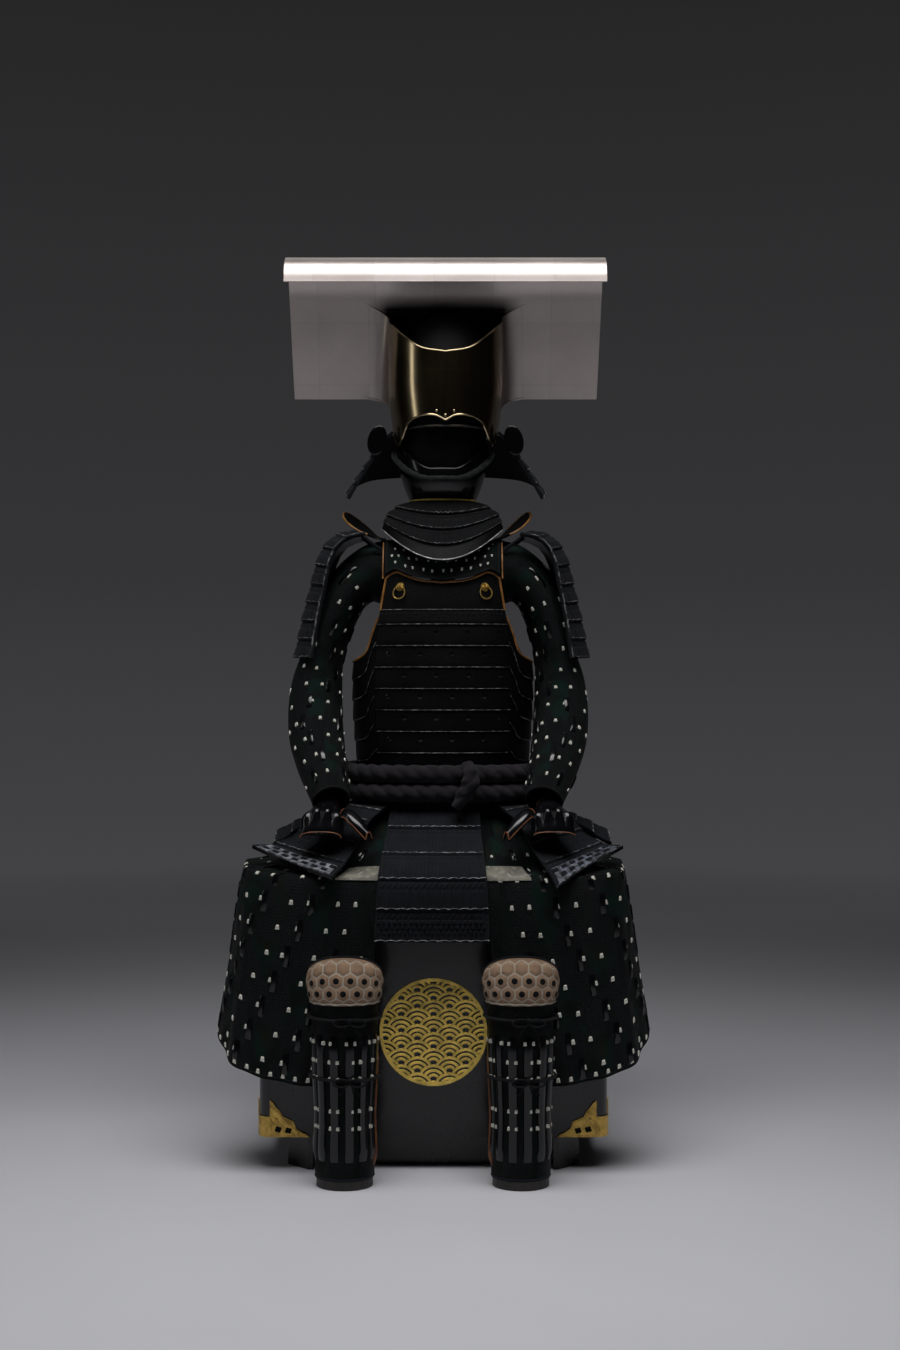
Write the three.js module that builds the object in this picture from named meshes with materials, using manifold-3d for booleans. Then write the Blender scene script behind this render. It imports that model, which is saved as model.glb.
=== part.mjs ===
// A suit of samurai armour, seated on its own lacquered armour chest.
// Millimetres, +Z up. The wearer would face -Y, so the wearer's left is at +X.
// The seat frame used by the tables has x = 0 in the middle, y = 0 at the torso's axis and z = 0 on the floor.
import * as THREE from "three";
import { mergeVertices } from "three/addons/utils/BufferGeometryUtils.js";
import Module from "manifold-3d";

const wasm = await Module();
wasm.setup();

// Driving sizes
const GAP = 0.4; // clearance between pieces that touch
const PLATE = 2.5; // lacquered iron and leather plates
const CLOTH = 3; // padded brocade with its lining
const LEAF = 3; // the helmet's silvered sheet
const LAME_STEP = 2.6; // how far a lame's lower edge stands over the next one
const LEFT = 1;
const RIGHT = -1;

const CHEST = {
  width: 584, front: -251, back: 241, bottom: 54, lidBottom: 388, top: 478,
  cornerRadius: 20, board: 12, lidLap: 4, sideRecess: 46,
};
const TORSO = { bottom: 602, frontTop: 940, firstEdge: 914.7, pitch: 37.4, backTop: 1000, armhole: 852 };
const STRAP = { inner: 58, outer: 106, top: 1066, thick: 4 };
const YOKE = 100; // half the width of the cloth yoke
const BODY_SHIFT = 15; // the armour sits this far to its own left of the chest's middle
const HELMET_SHIFT = 5; // and its helmet a little further
const ARM_SHIFT = -8; // arms and lap tassets, measured from the torso
const SHIN = { x: 143, y: -341, bottom: 14.4, top: 296, kneeTop: 374, discRadius: 46 };
const BELT = { upper: 655, lower: 622, radius: 15.5 };

// Small mathematics
const clamp = (v, low, high) => Math.min(high, Math.max(low, v));
const mix = (a, b, t) => a + (b - a) * t;
const ease = (t) => clamp(t, 0, 1) ** 2 * (3 - 2 * clamp(t, 0, 1));
const radians = (degrees) => (degrees * Math.PI) / 180;
const steps = (count) => Array.from({ length: count + 1 }, (_, i) => i / count);
const vec = (x, y, z) => new THREE.Vector3(x, y, z);

// Reads a short table at any value of its key column, with a smooth curve through the rows.
function reader(table, key) {
  const last = table.length - 1;
  return (value) => {
    const found = table.findIndex((row) => value <= row[key]);
    const i = clamp(found < 0 ? last : found, 1, last);
    const [before, from, to, after] = [i - 2, i - 1, i, i + 1].map((n) => table[clamp(n, 0, last)]);
    const span = to[key] - from[key];
    const t = clamp((value - from[key]) / span, 0, 1);
    const row = {};
    for (const name of Object.keys(from)) {
      const slopeIn = ((to[name] - before[name]) / (to[key] - before[key])) * span;
      const slopeOut = ((after[name] - from[name]) / (after[key] - from[key])) * span;
      row[name] =
        (2 * t ** 3 - 3 * t ** 2 + 1) * from[name] + (t ** 3 - 2 * t ** 2 + t) * slopeIn +
        (3 * t ** 2 - 2 * t ** 3) * to[name] + (t ** 3 - t ** 2) * slopeOut;
    }
    return row;
  };
}

// Mesh building
function geometryOf(points, triangles) {
  let volume = 0;
  for (const [a, b, c] of triangles) volume += points[a].dot(points[b].clone().cross(points[c]));
  const index = triangles.flatMap(([a, b, c]) => (volume < 0 ? [a, c, b] : [a, b, c]));
  const geometry = new THREE.BufferGeometry().setFromPoints(points);
  geometry.setIndex(index);
  return geometry;
}

// Joins sections, each a closed ring of points, into one closed surface. With loop, the last meets the first.
// From the place turnAt of each ring on, the squares are split along their other diagonal.
function loft(sections, { loop = false, cap, turnAt = Infinity } = {}) {
  const size = sections[0].length;
  const points = sections.flat();
  const triangles = [];
  const bands = loop ? sections.length : sections.length - 1;
  for (let s = 0; s < bands; s++) {
    const next = (s + 1) % sections.length;
    for (let i = 0; i < size; i++) {
      const j = (i + 1) % size;
      const [a, b, c, d] = [s * size + i, s * size + j, next * size + j, next * size + i];
      if (i >= turnAt && i < size - 1) triangles.push([a, b, d], [b, c, d]);
      else triangles.push([a, b, c], [a, c, d]);
    }
  }
  if (!loop) {
    const start = (sections.length - 1) * size;
    for (const [a, b, c] of cap(size, points, sections)) {
      triangles.push([b, a, c], [start + a, start + b, start + c]);
    }
  }
  return geometryOf(points, triangles);
}

// A cap of triangles between the outer run of a ring and its inner run, which comes back the other way.
const stripCap = (outerCount) => (size) => {
  const triangles = [];
  let [i, j] = [0, size - 1];
  const innerCount = size - outerCount;
  while (i < outerCount - 1 || j > outerCount) {
    const outerShare = (i + 1) / (outerCount - 1);
    const innerShare = (size - j) / (innerCount - 1);
    if (j <= outerCount || (i < outerCount - 1 && outerShare <= innerShare)) {
      triangles.push([i, i + 1, j]);
      i += 1;
    } else {
      triangles.push([i, j - 1, j]);
      j -= 1;
    }
  }
  return triangles;
};

const fanCap = (size) => Array.from({ length: size - 2 }, (_, i) => [0, i + 1, i + 2]);

// The unit normal of a surface(u, v) that faces away from the inside point.
function normalAt(surface, u, v, side) {
  const e = 1e-3;
  const [u0, u1, v0, v1] = [Math.max(u - e, 0), Math.min(u + e, 1), Math.max(v - e, 0), Math.min(v + e, 1)];
  const across = surface(u1, v).sub(surface(u0, v));
  const along = surface(u, v1).sub(surface(u, v0));
  return across.cross(along).normalize().multiplyScalar(side);
}

// A wall on surface(u, v): its outer rows may be raised, and its inside is plain.
// side is 1 or -1, whichever makes the normal point out. A looped wall closes on itself in u.
function wall({ surface, columns, rows, innerRows, thickness, side = 1, loop = false }) {
  const outer = rows.map((row) => (typeof row === "number" ? { at: row, raise: 0 } : row));
  const us = steps(columns).slice(0, loop ? columns : columns + 1);
  const raised = (u, v, by) => surface(u, v).addScaledVector(normalAt(surface, u, v, side), by);
  const sections = us.map((u) => [
    ...outer.map(({ at, raise }) => raised(u, at, typeof raise === "function" ? raise(u) : raise)),
    ...[...innerRows].reverse().map((v) => raised(u, v, -thickness)),
  ]);
  return loft(sections, { loop, cap: stripCap(outer.length), turnAt: outer.length });
}

// Rows for overlapping lames, from the places of their lower edges: each edge stands proud of the next lame.
function lameRows(edges, step = LAME_STEP) {
  const lip = 0.004;
  const rows = [];
  let start = 0;
  for (const edge of edges) {
    rows.push({ at: start, raise: 0 }, { at: edge === 1 ? 1 : edge - lip, raise: step });
    start = edge + lip;
  }
  return rows;
}

// The lower edges of lames that are all alike.
const evenly = (count) => steps(count).slice(1);

// A round bar of the given radius along path(t), t from 0 to 1.
function bar(path, { segments, sides = 8, radius, loop = false, up = vec(0, 0, 1) }) {
  const e = 1e-3;
  const ts = steps(segments).slice(0, loop ? segments : segments + 1);
  const sections = ts.map((t) => {
    const [before, after] = loop ? [(t - e + 1) % 1, (t + e) % 1] : [Math.max(t - e, 0), Math.min(t + e, 1)];
    const tangent = path(after).sub(path(before)).normalize();
    const out = tangent.clone().cross(up).normalize();
    const top = out.clone().cross(tangent);
    const r = typeof radius === "function" ? radius(t) : radius;
    return Array.from({ length: sides }, (_, i) => {
      const turn = (2 * Math.PI * i) / sides;
      return path(t).addScaledVector(out, r * Math.cos(turn)).addScaledVector(top, r * Math.sin(turn));
    });
  });
  return loft(sections, { loop, cap: fanCap });
}

// Booleans
function solidOf(geometry) {
  const bare = (geometry.index ? geometry.toNonIndexed() : geometry).clone();
  bare.deleteAttribute("normal");
  bare.deleteAttribute("uv");
  const merged = mergeVertices(bare, 1e-4);
  const vertProperties = merged.attributes.position.array;
  const triVerts = new Uint32Array(merged.index.array);
  return new wasm.Manifold(new wasm.Mesh({ numProp: 3, vertProperties, triVerts }));
}

function geometryFrom(solid) {
  const { vertProperties, triVerts } = solid.getMesh();
  const geometry = new THREE.BufferGeometry();
  geometry.setAttribute("position", new THREE.BufferAttribute(vertProperties, 3));
  return geometry.setIndex(new THREE.BufferAttribute(triVerts, 1));
}

const union = (...parts) => geometryFrom(parts.map(solidOf).reduce((all, one) => all.add(one)));
const cut = (from, ...tools) =>
  geometryFrom(tools.map(solidOf).reduce((all, one) => all.subtract(one), solidOf(from)));

// The group, its materials and its pieces
const armour = new THREE.Group();
const upperBody = new THREE.Group();
const helmet = new THREE.Group();
upperBody.position.x = BODY_SHIFT;
helmet.position.x = HELMET_SHIFT;
armour.add(upperBody);
upperBody.add(helmet);
const finish = (color, roughness, metalness) => new THREE.MeshStandardMaterial({ color, roughness, metalness });
const MATERIALS = {
  lacquer: finish(0x0b0c0e, 0.15, 0.0),
  silver: finish(0xb9b2a8, 0.32, 0.9),
  gold: finish(0xb08a2e, 0.35, 1.0),
  lacing: finish(0x14151b, 0.85, 0.0),
  brocade: finish(0x0c2a22, 0.6, 0.0),
  band: finish(0xa9a48a, 0.7, 0.0),
  kneeCloth: finish(0xb99a80, 0.8, 0.0),
  rope: finish(0x2b2830, 0.9, 0.0),
  wood: finish(0x17130f, 0.6, 0.0),
};

function add(name, geometry, material, group = upperBody) {
  const mesh = new THREE.Mesh(geometry, MATERIALS[material]);
  mesh.name = name;
  group.add(mesh);
}

function addPair(name, build, material, group) {
  add(`${name}_left`, build(LEFT), material, group);
  add(`${name}_right`, build(RIGHT), material, group);
}

// A box between two heights with rounded upright corners.
function roundedBlock(x, front, back, bottom, top, radius) {
  const shape = new THREE.Shape();
  shape.moveTo(-x + radius, front);
  shape.lineTo(x - radius, front);
  shape.absarc(x - radius, front + radius, radius, -Math.PI / 2, 0);
  shape.lineTo(x, back - radius);
  shape.absarc(x - radius, back - radius, radius, 0, Math.PI / 2);
  shape.lineTo(-x + radius, back);
  shape.absarc(-x + radius, back - radius, radius, Math.PI / 2, Math.PI);
  shape.lineTo(-x, front + radius);
  shape.absarc(-x + radius, front + radius, radius, Math.PI, 1.5 * Math.PI);
  const upward = { depth: top - bottom, bevelEnabled: false, curveSegments: 2 };
  return new THREE.ExtrudeGeometry(shape, upward).translate(0, 0, bottom);
}

// A prism from an outline in x and y, between two heights.
function prism(outline, bottom, top) {
  const shape = new THREE.Shape(outline.map(([x, y]) => new THREE.Vector2(x, y)));
  return new THREE.ExtrudeGeometry(shape, { depth: top - bottom, bevelEnabled: false }).translate(0, 0, bottom);
}

const box = (x0, x1, y0, y1, z0, z1) =>
  new THREE.BoxGeometry(x1 - x0, y1 - y0, z1 - z0).translate((x0 + x1) / 2, (y0 + y1) / 2, (z0 + z1) / 2);

// The armour chest: box, overlapping lid, base with feet, and gilt corner mounts
function addChest() {
  const { front, back, bottom, top, board, cornerRadius: r, lidLap } = CHEST;
  const half = CHEST.width / 2;
  const rim = top - board - GAP;
  add("chest_body", cut(
    roundedBlock(half, front, back, bottom, rim, r),
    roundedBlock(half - board, front + board, back - board, bottom + board, rim + 1, r - board),
  ), "lacquer", armour);
  add("chest_lid", cut(
    roundedBlock(half + lidLap, front - lidLap, back + lidLap, CHEST.lidBottom, top, r + lidLap),
    roundedBlock(half + GAP, front - GAP, back + GAP, CHEST.lidBottom - 1, top - board, r + GAP),
  ), "lacquer", armour);

  const foot = { x: half - CHEST.sideRecess, long: 45, chamfer: 36, skirt: 14 };
  const inset = 3;
  const corners = [LEFT, RIGHT].flatMap((side) => [[side, front + inset, 1], [side, back - inset, -1]]);
  const feet = corners.map(([side, y, inward]) => prism([
    [side * (foot.x - foot.long), y], [side * (foot.x - foot.chamfer), y],
    [side * foot.x, y + inward * foot.chamfer], [side * foot.x, y + inward * (foot.chamfer + foot.long / 2)],
    [side * (foot.x - foot.long), y + inward * (foot.chamfer + foot.long / 2)],
  ], 0, bottom - GAP));
  const skirtFront = front + inset + foot.chamfer;
  const skirtBack = back - inset - foot.chamfer;
  const skirt = cut(
    box(-foot.x, foot.x, skirtFront, skirtBack, 0, bottom - GAP),
    box(-foot.x + foot.skirt, foot.x - foot.skirt, skirtFront + foot.skirt, skirtBack - foot.skirt, -1, bottom),
  );
  add("chest_base", union(skirt, ...feet), "lacquer", armour);

  // Each mount wraps one lower corner: a stepped triangle on two faces, joined round the corner.
  const mount = { high: 62, plain: 34, thick: 1.6, reach: 66 };
  const shape = new THREE.Shape([
    [0, 0], [mount.reach, 0], [mount.reach - 14, 9], [mount.reach - 22, 14], [mount.reach - 26, 26],
    [22, 34], [16, 44], [0, mount.high],
  ].map(([x, y]) => new THREE.Vector2(x, y)));
  for (const [end, y, inward] of [["front", front, 1], ["back", back, -1]]) {
    for (const [name, side] of [["left", LEFT], ["right", RIGHT]]) {
      const cornerX = side * (half - r);
      const cornerY = y + inward * r;
      const bend = wall({
        surface: (u, v) => {
          const turn = radians(90 * u);
          const radius = r + GAP + mount.thick;
          return vec(cornerX + side * radius * Math.sin(turn), cornerY - inward * radius * Math.cos(turn),
            bottom + 1 + v * mount.plain);
        },
        columns: 4, rows: [0, 1], innerRows: [0, 1], thickness: mount.thick, side: side * inward,
      });
      const plate = () => new THREE.ExtrudeGeometry(shape, { depth: mount.thick, bevelEnabled: false });
      const proud = GAP + mount.thick;
      const onFront = plate().rotateX(Math.PI / 2).translate(0, mount.thick, 0);
      onFront.scale(-side, inward, 1).translate(side * (half - r + 1), y - inward * proud, bottom + 1);
      const onSide = plate().rotateX(Math.PI / 2).rotateZ(Math.PI / 2).translate(-mount.thick, 0, 0);
      onSide.scale(side, inward, 1).translate(side * (half + proud), y + inward * (r - 1), bottom + 1);
      add(`corner_mount_${end}_${name}`, union(upright(onFront), upright(onSide), bend), "gold", armour);
    }
  }
}

// A mirrored geometry has its faces turned out again.
function upright(geometry) {
  const points = [];
  const position = (geometry.index ? geometry.toNonIndexed() : geometry).getAttribute("position");
  for (let i = 0; i < position.count; i++) points.push(new THREE.Vector3().fromBufferAttribute(position, i));
  const triangles = Array.from({ length: points.length / 3 }, (_, i) => [3 * i, 3 * i + 1, 3 * i + 2]);
  return geometryOf(points, triangles);
}

// The cuirass. Its plan is a squared ellipse whose half width and half depth follow the height.
const torsoPlan = reader([
  { z: 560, rx: 160, ry: 118 },
  { z: 602, rx: 157, ry: 117 },
  { z: 645, rx: 150, ry: 113 },
  { z: 700, rx: 156, ry: 116 },
  { z: 780, rx: 161, ry: 120 },
  { z: 860, rx: 160, ry: 122 },
  { z: 940, rx: 150, ry: 119 },
  { z: 1010, rx: 134, ry: 108 },
], "z");

const SQUARE = 0.86; // below 1, the plan is squarer than an ellipse

// A point of the torso: degrees round from the front, towards +X.
function torso(degrees, z, off = 0) {
  const { rx, ry } = torsoPlan(z);
  const [s, c] = [Math.sin(radians(degrees)), Math.cos(radians(degrees))];
  const squared = (value) => Math.sign(value) * Math.abs(value) ** SQUARE;
  return vec((rx + off) * squared(s), -(ry + off) * squared(c), z);
}

const SEAM = 0.3; // degrees between neighbouring plates
const FRONT_EDGE = 44;

const chestPlateTop = reader([
  { x: 0, z: 989 }, { x: 40, z: 993 }, { x: 66, z: 1001 }, { x: 84, z: 1008 }, { x: 100, z: 1000 },
  { x: 110, z: 984 }, { x: 120, z: 958 }, { x: 130, z: 946 },
], "x");
const sidePlateTop = reader([
  { turn: 44, z: 932 }, { turn: 49, z: 905 }, { turn: 54, z: 872 }, { turn: 66, z: 858 }, { turn: 90, z: 852 },
  { turn: 116, z: 862 }, { turn: 136, z: 930 },
], "turn");

// The torso's half depth at a distance from its middle plane, and at a height.
function torsoDepth(x, z) {
  const { rx, ry } = torsoPlan(z);
  return ry * (1 - (Math.abs(x) / rx) ** (2 / SQUARE)) ** (SQUARE / 2);
}

// The shoulder line: v runs from the chest plate's top edge, over the stand's board, to the back plate's.
const shoulderPath = reader([
  { v: 0, reach: -1, lift: 0 },
  { v: 0.2, reach: -0.84, lift: 0.55 },
  { v: 0.38, reach: -0.45, lift: 0.93 },
  { v: 0.5, reach: 0, lift: 1 },
  { v: 0.62, reach: 0.45, lift: 0.93 },
  { v: 0.8, reach: 0.84, lift: 0.52 },
  { v: 1, reach: 1, lift: 0 },
], "v");

function shoulderLine(x, v, over) {
  const at = (place) => {
    const row = shoulderPath(place);
    const edge = v < 0.5 ? chestPlateTop(Math.abs(x)).z : TORSO.backTop;
    return vec(x, row.reach * (torsoDepth(x, edge) + GAP), mix(edge + 4 * GAP, STRAP.top, row.lift));
  };
  const along = at(Math.min(v + 0.01, 1)).sub(at(Math.max(v - 0.01, 0)));
  return at(v).addScaledVector(vec(0, -along.z, along.y).normalize(), over);
}

function addCuirass() {
  const { bottom, frontTop, firstEdge, pitch, backTop } = TORSO;
  const panel = (from, to, top) => {
    const edges = [];
    for (let z = firstEdge + (top > frontTop ? 2 * pitch : 0); z > bottom + pitch; z -= pitch) {
      edges.push((top - z) / (top - bottom));
    }
    return wall({
      surface: (u, v) => torso(mix(from, to, u), mix(top, bottom, v)),
      columns: 8, rows: lameRows([...edges, 1]), innerRows: [0, ...edges, 1],
      thickness: PLATE, side: -1,
    });
  };
  add("cuirass_front", panel(-FRONT_EDGE, FRONT_EDGE, frontTop), "lacquer");
  add("cuirass_back", panel(180 - FRONT_EDGE, 180 + FRONT_EDGE, backTop), "lacquer");
  addPair("cuirass_side", (side) => {
    const [from, to] = [FRONT_EDGE + SEAM, 180 - FRONT_EDGE - SEAM];
    const sideLames = Math.round((TORSO.armhole - bottom) / pitch);
    return wall({
      surface: (u, v) => {
        const turn = mix(from, to, u);
        return torso(side * turn, mix(sidePlateTop(turn).z, bottom, v));
      },
      columns: 7, rows: lameRows(evenly(sideLames)), innerRows: steps(sideLames), thickness: PLATE, side: -side,
    });
  }, "lacquer");

  add("chest_plate", wall({
    surface: (u, v) => {
      const turn = mix(-FRONT_EDGE, FRONT_EDGE, u);
      const x = Math.abs(torso(turn, 980).x);
      return torso(turn, mix(chestPlateTop(x).z, frontTop + GAP, v));
    },
    columns: 14, rows: steps(3), innerRows: steps(2), thickness: PLATE, side: -1,
  }), "lacquer");

  addPair("shoulder_strap", (side) => wall({
    surface: (u, v) => shoulderLine(side * mix(STRAP.inner, STRAP.outer, u), v, STRAP.thick),
    columns: 4, rows: steps(8), innerRows: steps(8), thickness: STRAP.thick, side,
  }), "lacquer");

  // The cloth yoke over the straps, below the throat guard
  const yokeEnd = 0.33;
  add("collar", wall({
    surface: (u, v) => shoulderLine(mix(-YOKE, YOKE, u), yokeEnd * v, STRAP.thick + 4 * GAP + CLOTH),
    columns: 12, rows: steps(4), innerRows: steps(4), thickness: CLOTH - 0.5, side: 1,
  }), "brocade");

  // Wings that stand on the straps and curl up and out
  const wing = {
    rise: 44, halfLength: 46, over: PLATE + 0.6, tilt: 0.5,
    base: { [LEFT]: 92, [RIGHT]: 103 }, reach: { [LEFT]: 66, [RIGHT]: 76 },
  };
  addPair("shoulder_wing", (side) => wall({
    surface: (u, v) => {
      const along = 2 * u - 1;
      const outline = (1 - 0.88 * Math.abs(along) ** 2.4) ** 0.5;
      const out = v * outline;
      const y = wing.halfLength * along * (1 - 0.12 * v);
      const curl = (1.35 * out * out) / (out + 0.35);
      const foot = STRAP.top + STRAP.thick + wing.over - 4 * along * along * (1 - v);
      const x = side * (wing.base[side] + wing.reach[side] * out);
      return vec(x, y, foot + wing.rise * curl + wing.tilt * y * out);
    },
    columns: 8, rows: steps(4), innerRows: steps(4), thickness: PLATE, side: -side,
  }), "lacquer");
}

// Two rings hang from staples on the chest plate.
const RING = {
  x: 74, z: 981, radius: 11, wire: 1.2, rosette: 8, plate: 2, axis: 4.2, arch: 4.6, archWire: 1.1,
};

// The chest plate's point, outward normal and level tangent where a ring hangs.
function ringFrame(side) {
  const turnOf = (x) => {
    let [low, high] = [0, 80];
    for (let i = 0; i < 40; i++) {
      const middle = (low + high) / 2;
      if (torso(middle, RING.z).x < x) low = middle;
      else high = middle;
    }
    return low;
  };
  const turn = side * turnOf(RING.x);
  const at = torso(turn, RING.z);
  const level = torso(turn + 0.5, RING.z).sub(torso(turn - 0.5, RING.z)).normalize();
  const rise = torso(turn, RING.z + 8).sub(torso(turn, RING.z - 8)).normalize();
  const out = level.clone().cross(rise).normalize();
  return { at, level, out, rise: out.clone().cross(level).normalize() };
}

function addRings() {
  addPair("ring_boss", (side) => {
    const { at, level, out, rise } = ringFrame(side);
    const basis = new THREE.Matrix4().makeBasis(level.negate(), out, rise).setPosition(at);
    const rosette = new THREE.CylinderGeometry(RING.rosette - 1, RING.rosette, RING.plate, 16)
      .translate(0, GAP + RING.plate / 2, 0);
    const foot = GAP + 0.5;
    const arch = bar((t) => {
      const turn = mix(-0.06, 1.06, t) * Math.PI;
      return vec(0, Math.max(foot, 2.2 + RING.arch * Math.sin(turn)), RING.arch * Math.cos(turn));
    }, { segments: 10, sides: 6, radius: RING.archWire, up: vec(1, 0, 0) });
    return union(rosette, arch).applyMatrix4(basis);
  }, "gold");
  addPair("chest_ring", (side) => {
    const { at, level, out, rise } = ringFrame(side);
    const centre = at.clone().addScaledVector(out, RING.axis).addScaledVector(rise, -RING.radius);
    return bar((t) => {
      const turn = 2 * Math.PI * t;
      return centre.clone().addScaledVector(level, RING.radius * Math.sin(turn))
        .addScaledVector(rise, RING.radius * Math.cos(turn));
    }, { segments: 20, sides: 6, radius: RING.wire, loop: true, up: out });
  }, "gold");
}

// The rope sash: two turns round the waist and a knot at the front
function addSash() {
  const turnOfRope = (z, clear) => bar((t) => torso(360 * t, z, BELT.radius + clear),
    { segments: 28, sides: 6, radius: BELT.radius, loop: true });
  add("sash_upper", turnOfRope(BELT.upper, 3.6), "rope");
  add("sash_lower", turnOfRope(BELT.lower, 3.2), "rope");
  const front = torso(9, BELT.upper, 2 * BELT.radius + 1.1);
  const knot = [
    { t: 0, x: 4, y: 6, z: 672, r: 10 },
    { t: 0.3, x: 11, y: -5, z: 660, r: 14 },
    { t: 0.6, x: 10, y: -8, z: 638, r: 15 },
    { t: 0.85, x: -2, y: -4, z: 616, r: 13 },
    { t: 1, x: -14, y: -2, z: 598, r: 9 },
  ];
  const at = reader(knot, "t");
  add("sash_knot", bar((t) => {
    const row = at(t);
    return vec(front.x + row.x, front.y - 12 + row.y, row.z);
  }, { segments: 8, sides: 8, radius: (t) => at(t).r, up: vec(1, 0, 0) }), "rope");
}

// The lap, on which thigh guards and tassets lie: its height over the chest's lid
const LAP = {
  waist: 575, front: 481.2, side: 518, reach: 1.32, sideReach: 1.05, backReach: 0.7, soft: 0.84,
  valley: 60, thigh: 115,
};

function lap(x, y) {
  const turn = Math.abs(x) / Math.max(1, Math.hypot(x, y));
  const reach = mix(mix(LAP.reach, LAP.sideReach, turn * turn), LAP.backReach, ease(y / 120));
  const way = Math.max(0, (Math.hypot(x / 157, y / 117) - 1) / reach);
  const out = way < LAP.soft ? way : 1 - (1 - LAP.soft) * Math.exp((LAP.soft - way) / (1 - LAP.soft));
  const edge = mix(LAP.front, LAP.side, turn ** 3);
  const onThigh = y > 0 ? 0.4 : ease((Math.abs(x) - LAP.valley) / LAP.thigh);
  const fall = mix(out, out ** 2.2, onThigh);
  return mix(LAP.waist, edge, fall);
}

// Thigh guards: each hangs from inside the cuirass, lies over the lap and drapes down over the chest.
const thighEdge = reader([
  { u: 0, x: 90, y: -263, out: 0 },
  { u: 0.25, x: 158, y: -266, out: 0 },
  { u: 0.5, x: 232, y: -268, out: 4 },
  { u: 0.7, x: 290, y: -260, out: 24 },
  { u: 0.85, x: 316, y: -222, out: 58 },
  { u: 1, x: 321, y: -150, out: 82 },
], "u");
const thighHem = reader([
  { u: 0, x: 112, y: -284, z: 143 },
  { u: 0.25, x: 185, y: -285, z: 145 },
  { u: 0.5, x: 264, y: -290, z: 157 },
  { u: 0.7, x: 324, y: -278, z: 176 },
  { u: 0.85, x: 355, y: -238, z: 202 },
  { u: 0.95, x: 367, y: -192, z: 226 },
  { u: 1, x: 370, y: -168, z: 254 },
], "u");
const THIGH = {
  columns: 15, tuck: 0.05, edge: 0.45, insideTop: 607, insideBottom: 588, folds: 5.5, wideFolds: 2.3, fold: 3.5,
};

function thighGuard(side) {
  return (u, v) => {
    const start = torso(side * mix(17, 76, u), THIGH.insideTop, -PLATE - 4 * GAP);
    if (v < THIGH.tuck) return start.setZ(mix(THIGH.insideTop, THIGH.insideBottom, v / THIGH.tuck));
    const edge = thighEdge(u);
    if (v < THIGH.edge) {
      const s = (v - THIGH.tuck) / (THIGH.edge - THIGH.tuck);
      const [x, y] = [mix(start.x, side * edge.x - BODY_SHIFT, s), mix(start.y, edge.y, s)];
      return vec(x, y, lap(x, y) + (THIGH.insideBottom - LAP.waist) * (1 - s) ** 6);
    }
    const s = (v - THIGH.edge) / (1 - THIGH.edge);
    const hem = thighHem(u);
    const away = radians(edge.out);
    const out = vec(side * Math.sin(away), -Math.cos(away), 0);
    const edgeX = side * edge.x - BODY_SHIFT;
    const from = vec(edgeX, edge.y, lap(edgeX, edge.y));
    const to = vec(side * hem.x - BODY_SHIFT, hem.y, hem.z);
    const shoulder = from.clone().addScaledVector(out, 13).add(vec(0, 0, -10));
    const hang = from.clone().lerp(to, 0.4).addScaledVector(out, -2);
    const drape = new THREE.CubicBezierCurve3(from, shoulder, hang, to).getPoint(s);
    const wave = (count, start) => Math.sin(2 * Math.PI * (count * u + start));
    const ripple = wave(THIGH.folds, 0.2) + 0.5 * wave(THIGH.wideFolds, 0.6);
    return drape.addScaledVector(out, THIGH.fold * ripple * s * s);
  };
}

function addThighGuards() {
  const rows = [0, 0.05, 0.12, 0.24, 0.36, 0.41, 0.45, 0.49, 0.57, 0.7, 0.85, 1];
  addPair("thigh_guard", (side) => wall({
    surface: thighGuard(side), columns: THIGH.columns, rows, innerRows: rows, thickness: CLOTH, side: -side,
  }), "brocade");
  // A brocade band sewn across each thigh guard, where the lap turns down
  const bandRows = [0.36, 0.41, 0.45, 0.49];
  addPair("thigh_band", (side) => wall({
    surface: (u, v) => {
      const on = thighGuard(side);
      const across = mix(0, 4, u) / THIGH.columns;
      return on(across, v).addScaledVector(normalAt(on, across, v, -side), GAP + 0.6);
    },
    columns: 4, rows: bandRows, innerRows: bandRows, thickness: 1, side,
  }), "band");
}

// Tassets: laced panels that hang from the cuirass and lie on the lap. Each has five lames.
const TASSET = { over: 11, top: 601.3 };

// A tasset between two directions at the waist and two hem points.
function tasset(cut) {
  const { from, to, hemFrom, hemTo } = cut;
  const { over = TASSET.over, hump = 0, lift = 0, side = LEFT, shift = 0, columns = 6 } = cut;
  return wall({
    surface: (u, v) => {
      const start = torso(side * mix(from, to, u), TASSET.top, 0);
      const [x, y] = [
        mix(start.x, side * mix(hemFrom.x, hemTo.x, u) + shift, v),
        mix(start.y, mix(hemFrom.y, hemTo.y, u), v),
      ];
      const thigh = hump * Math.sin(Math.PI * v) + lift * u * u * v ** 4 - hemFrom.drop * (1 - u) ** 3 * v ** 9;
      return vec(x, y, mix(lap(x, y) + over + thigh, TASSET.top, (1 - v) ** 3));
    },
    columns, rows: lameRows(evenly(5)), innerRows: steps(5), thickness: PLATE, side: -side,
  });
}

// The front tasset bends over the lap and hangs down over the chest's front.
const frontTasset = reader([
  { v: 0, y: -119, z: 601.3, x0: -88, x1: 63 },
  { v: 0.15, y: -148, z: 572, x0: -92, x1: 64 },
  { v: 0.34, y: -200, z: 540, x0: -98, x1: 67 },
  { v: 0.53, y: -252, z: 516, x0: -102, x1: 70 },
  { v: 0.68, y: -285, z: 486, x0: -106, x1: 73 },
  { v: 0.82, y: -290, z: 438, x0: -109, x1: 76 },
  { v: 1, y: -292, z: 386, x0: -111, x1: 78 },
], "v");
const FRONT_TASSET_EDGES = [0.207, 0.473, 0.68, 0.823, 1];

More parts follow.
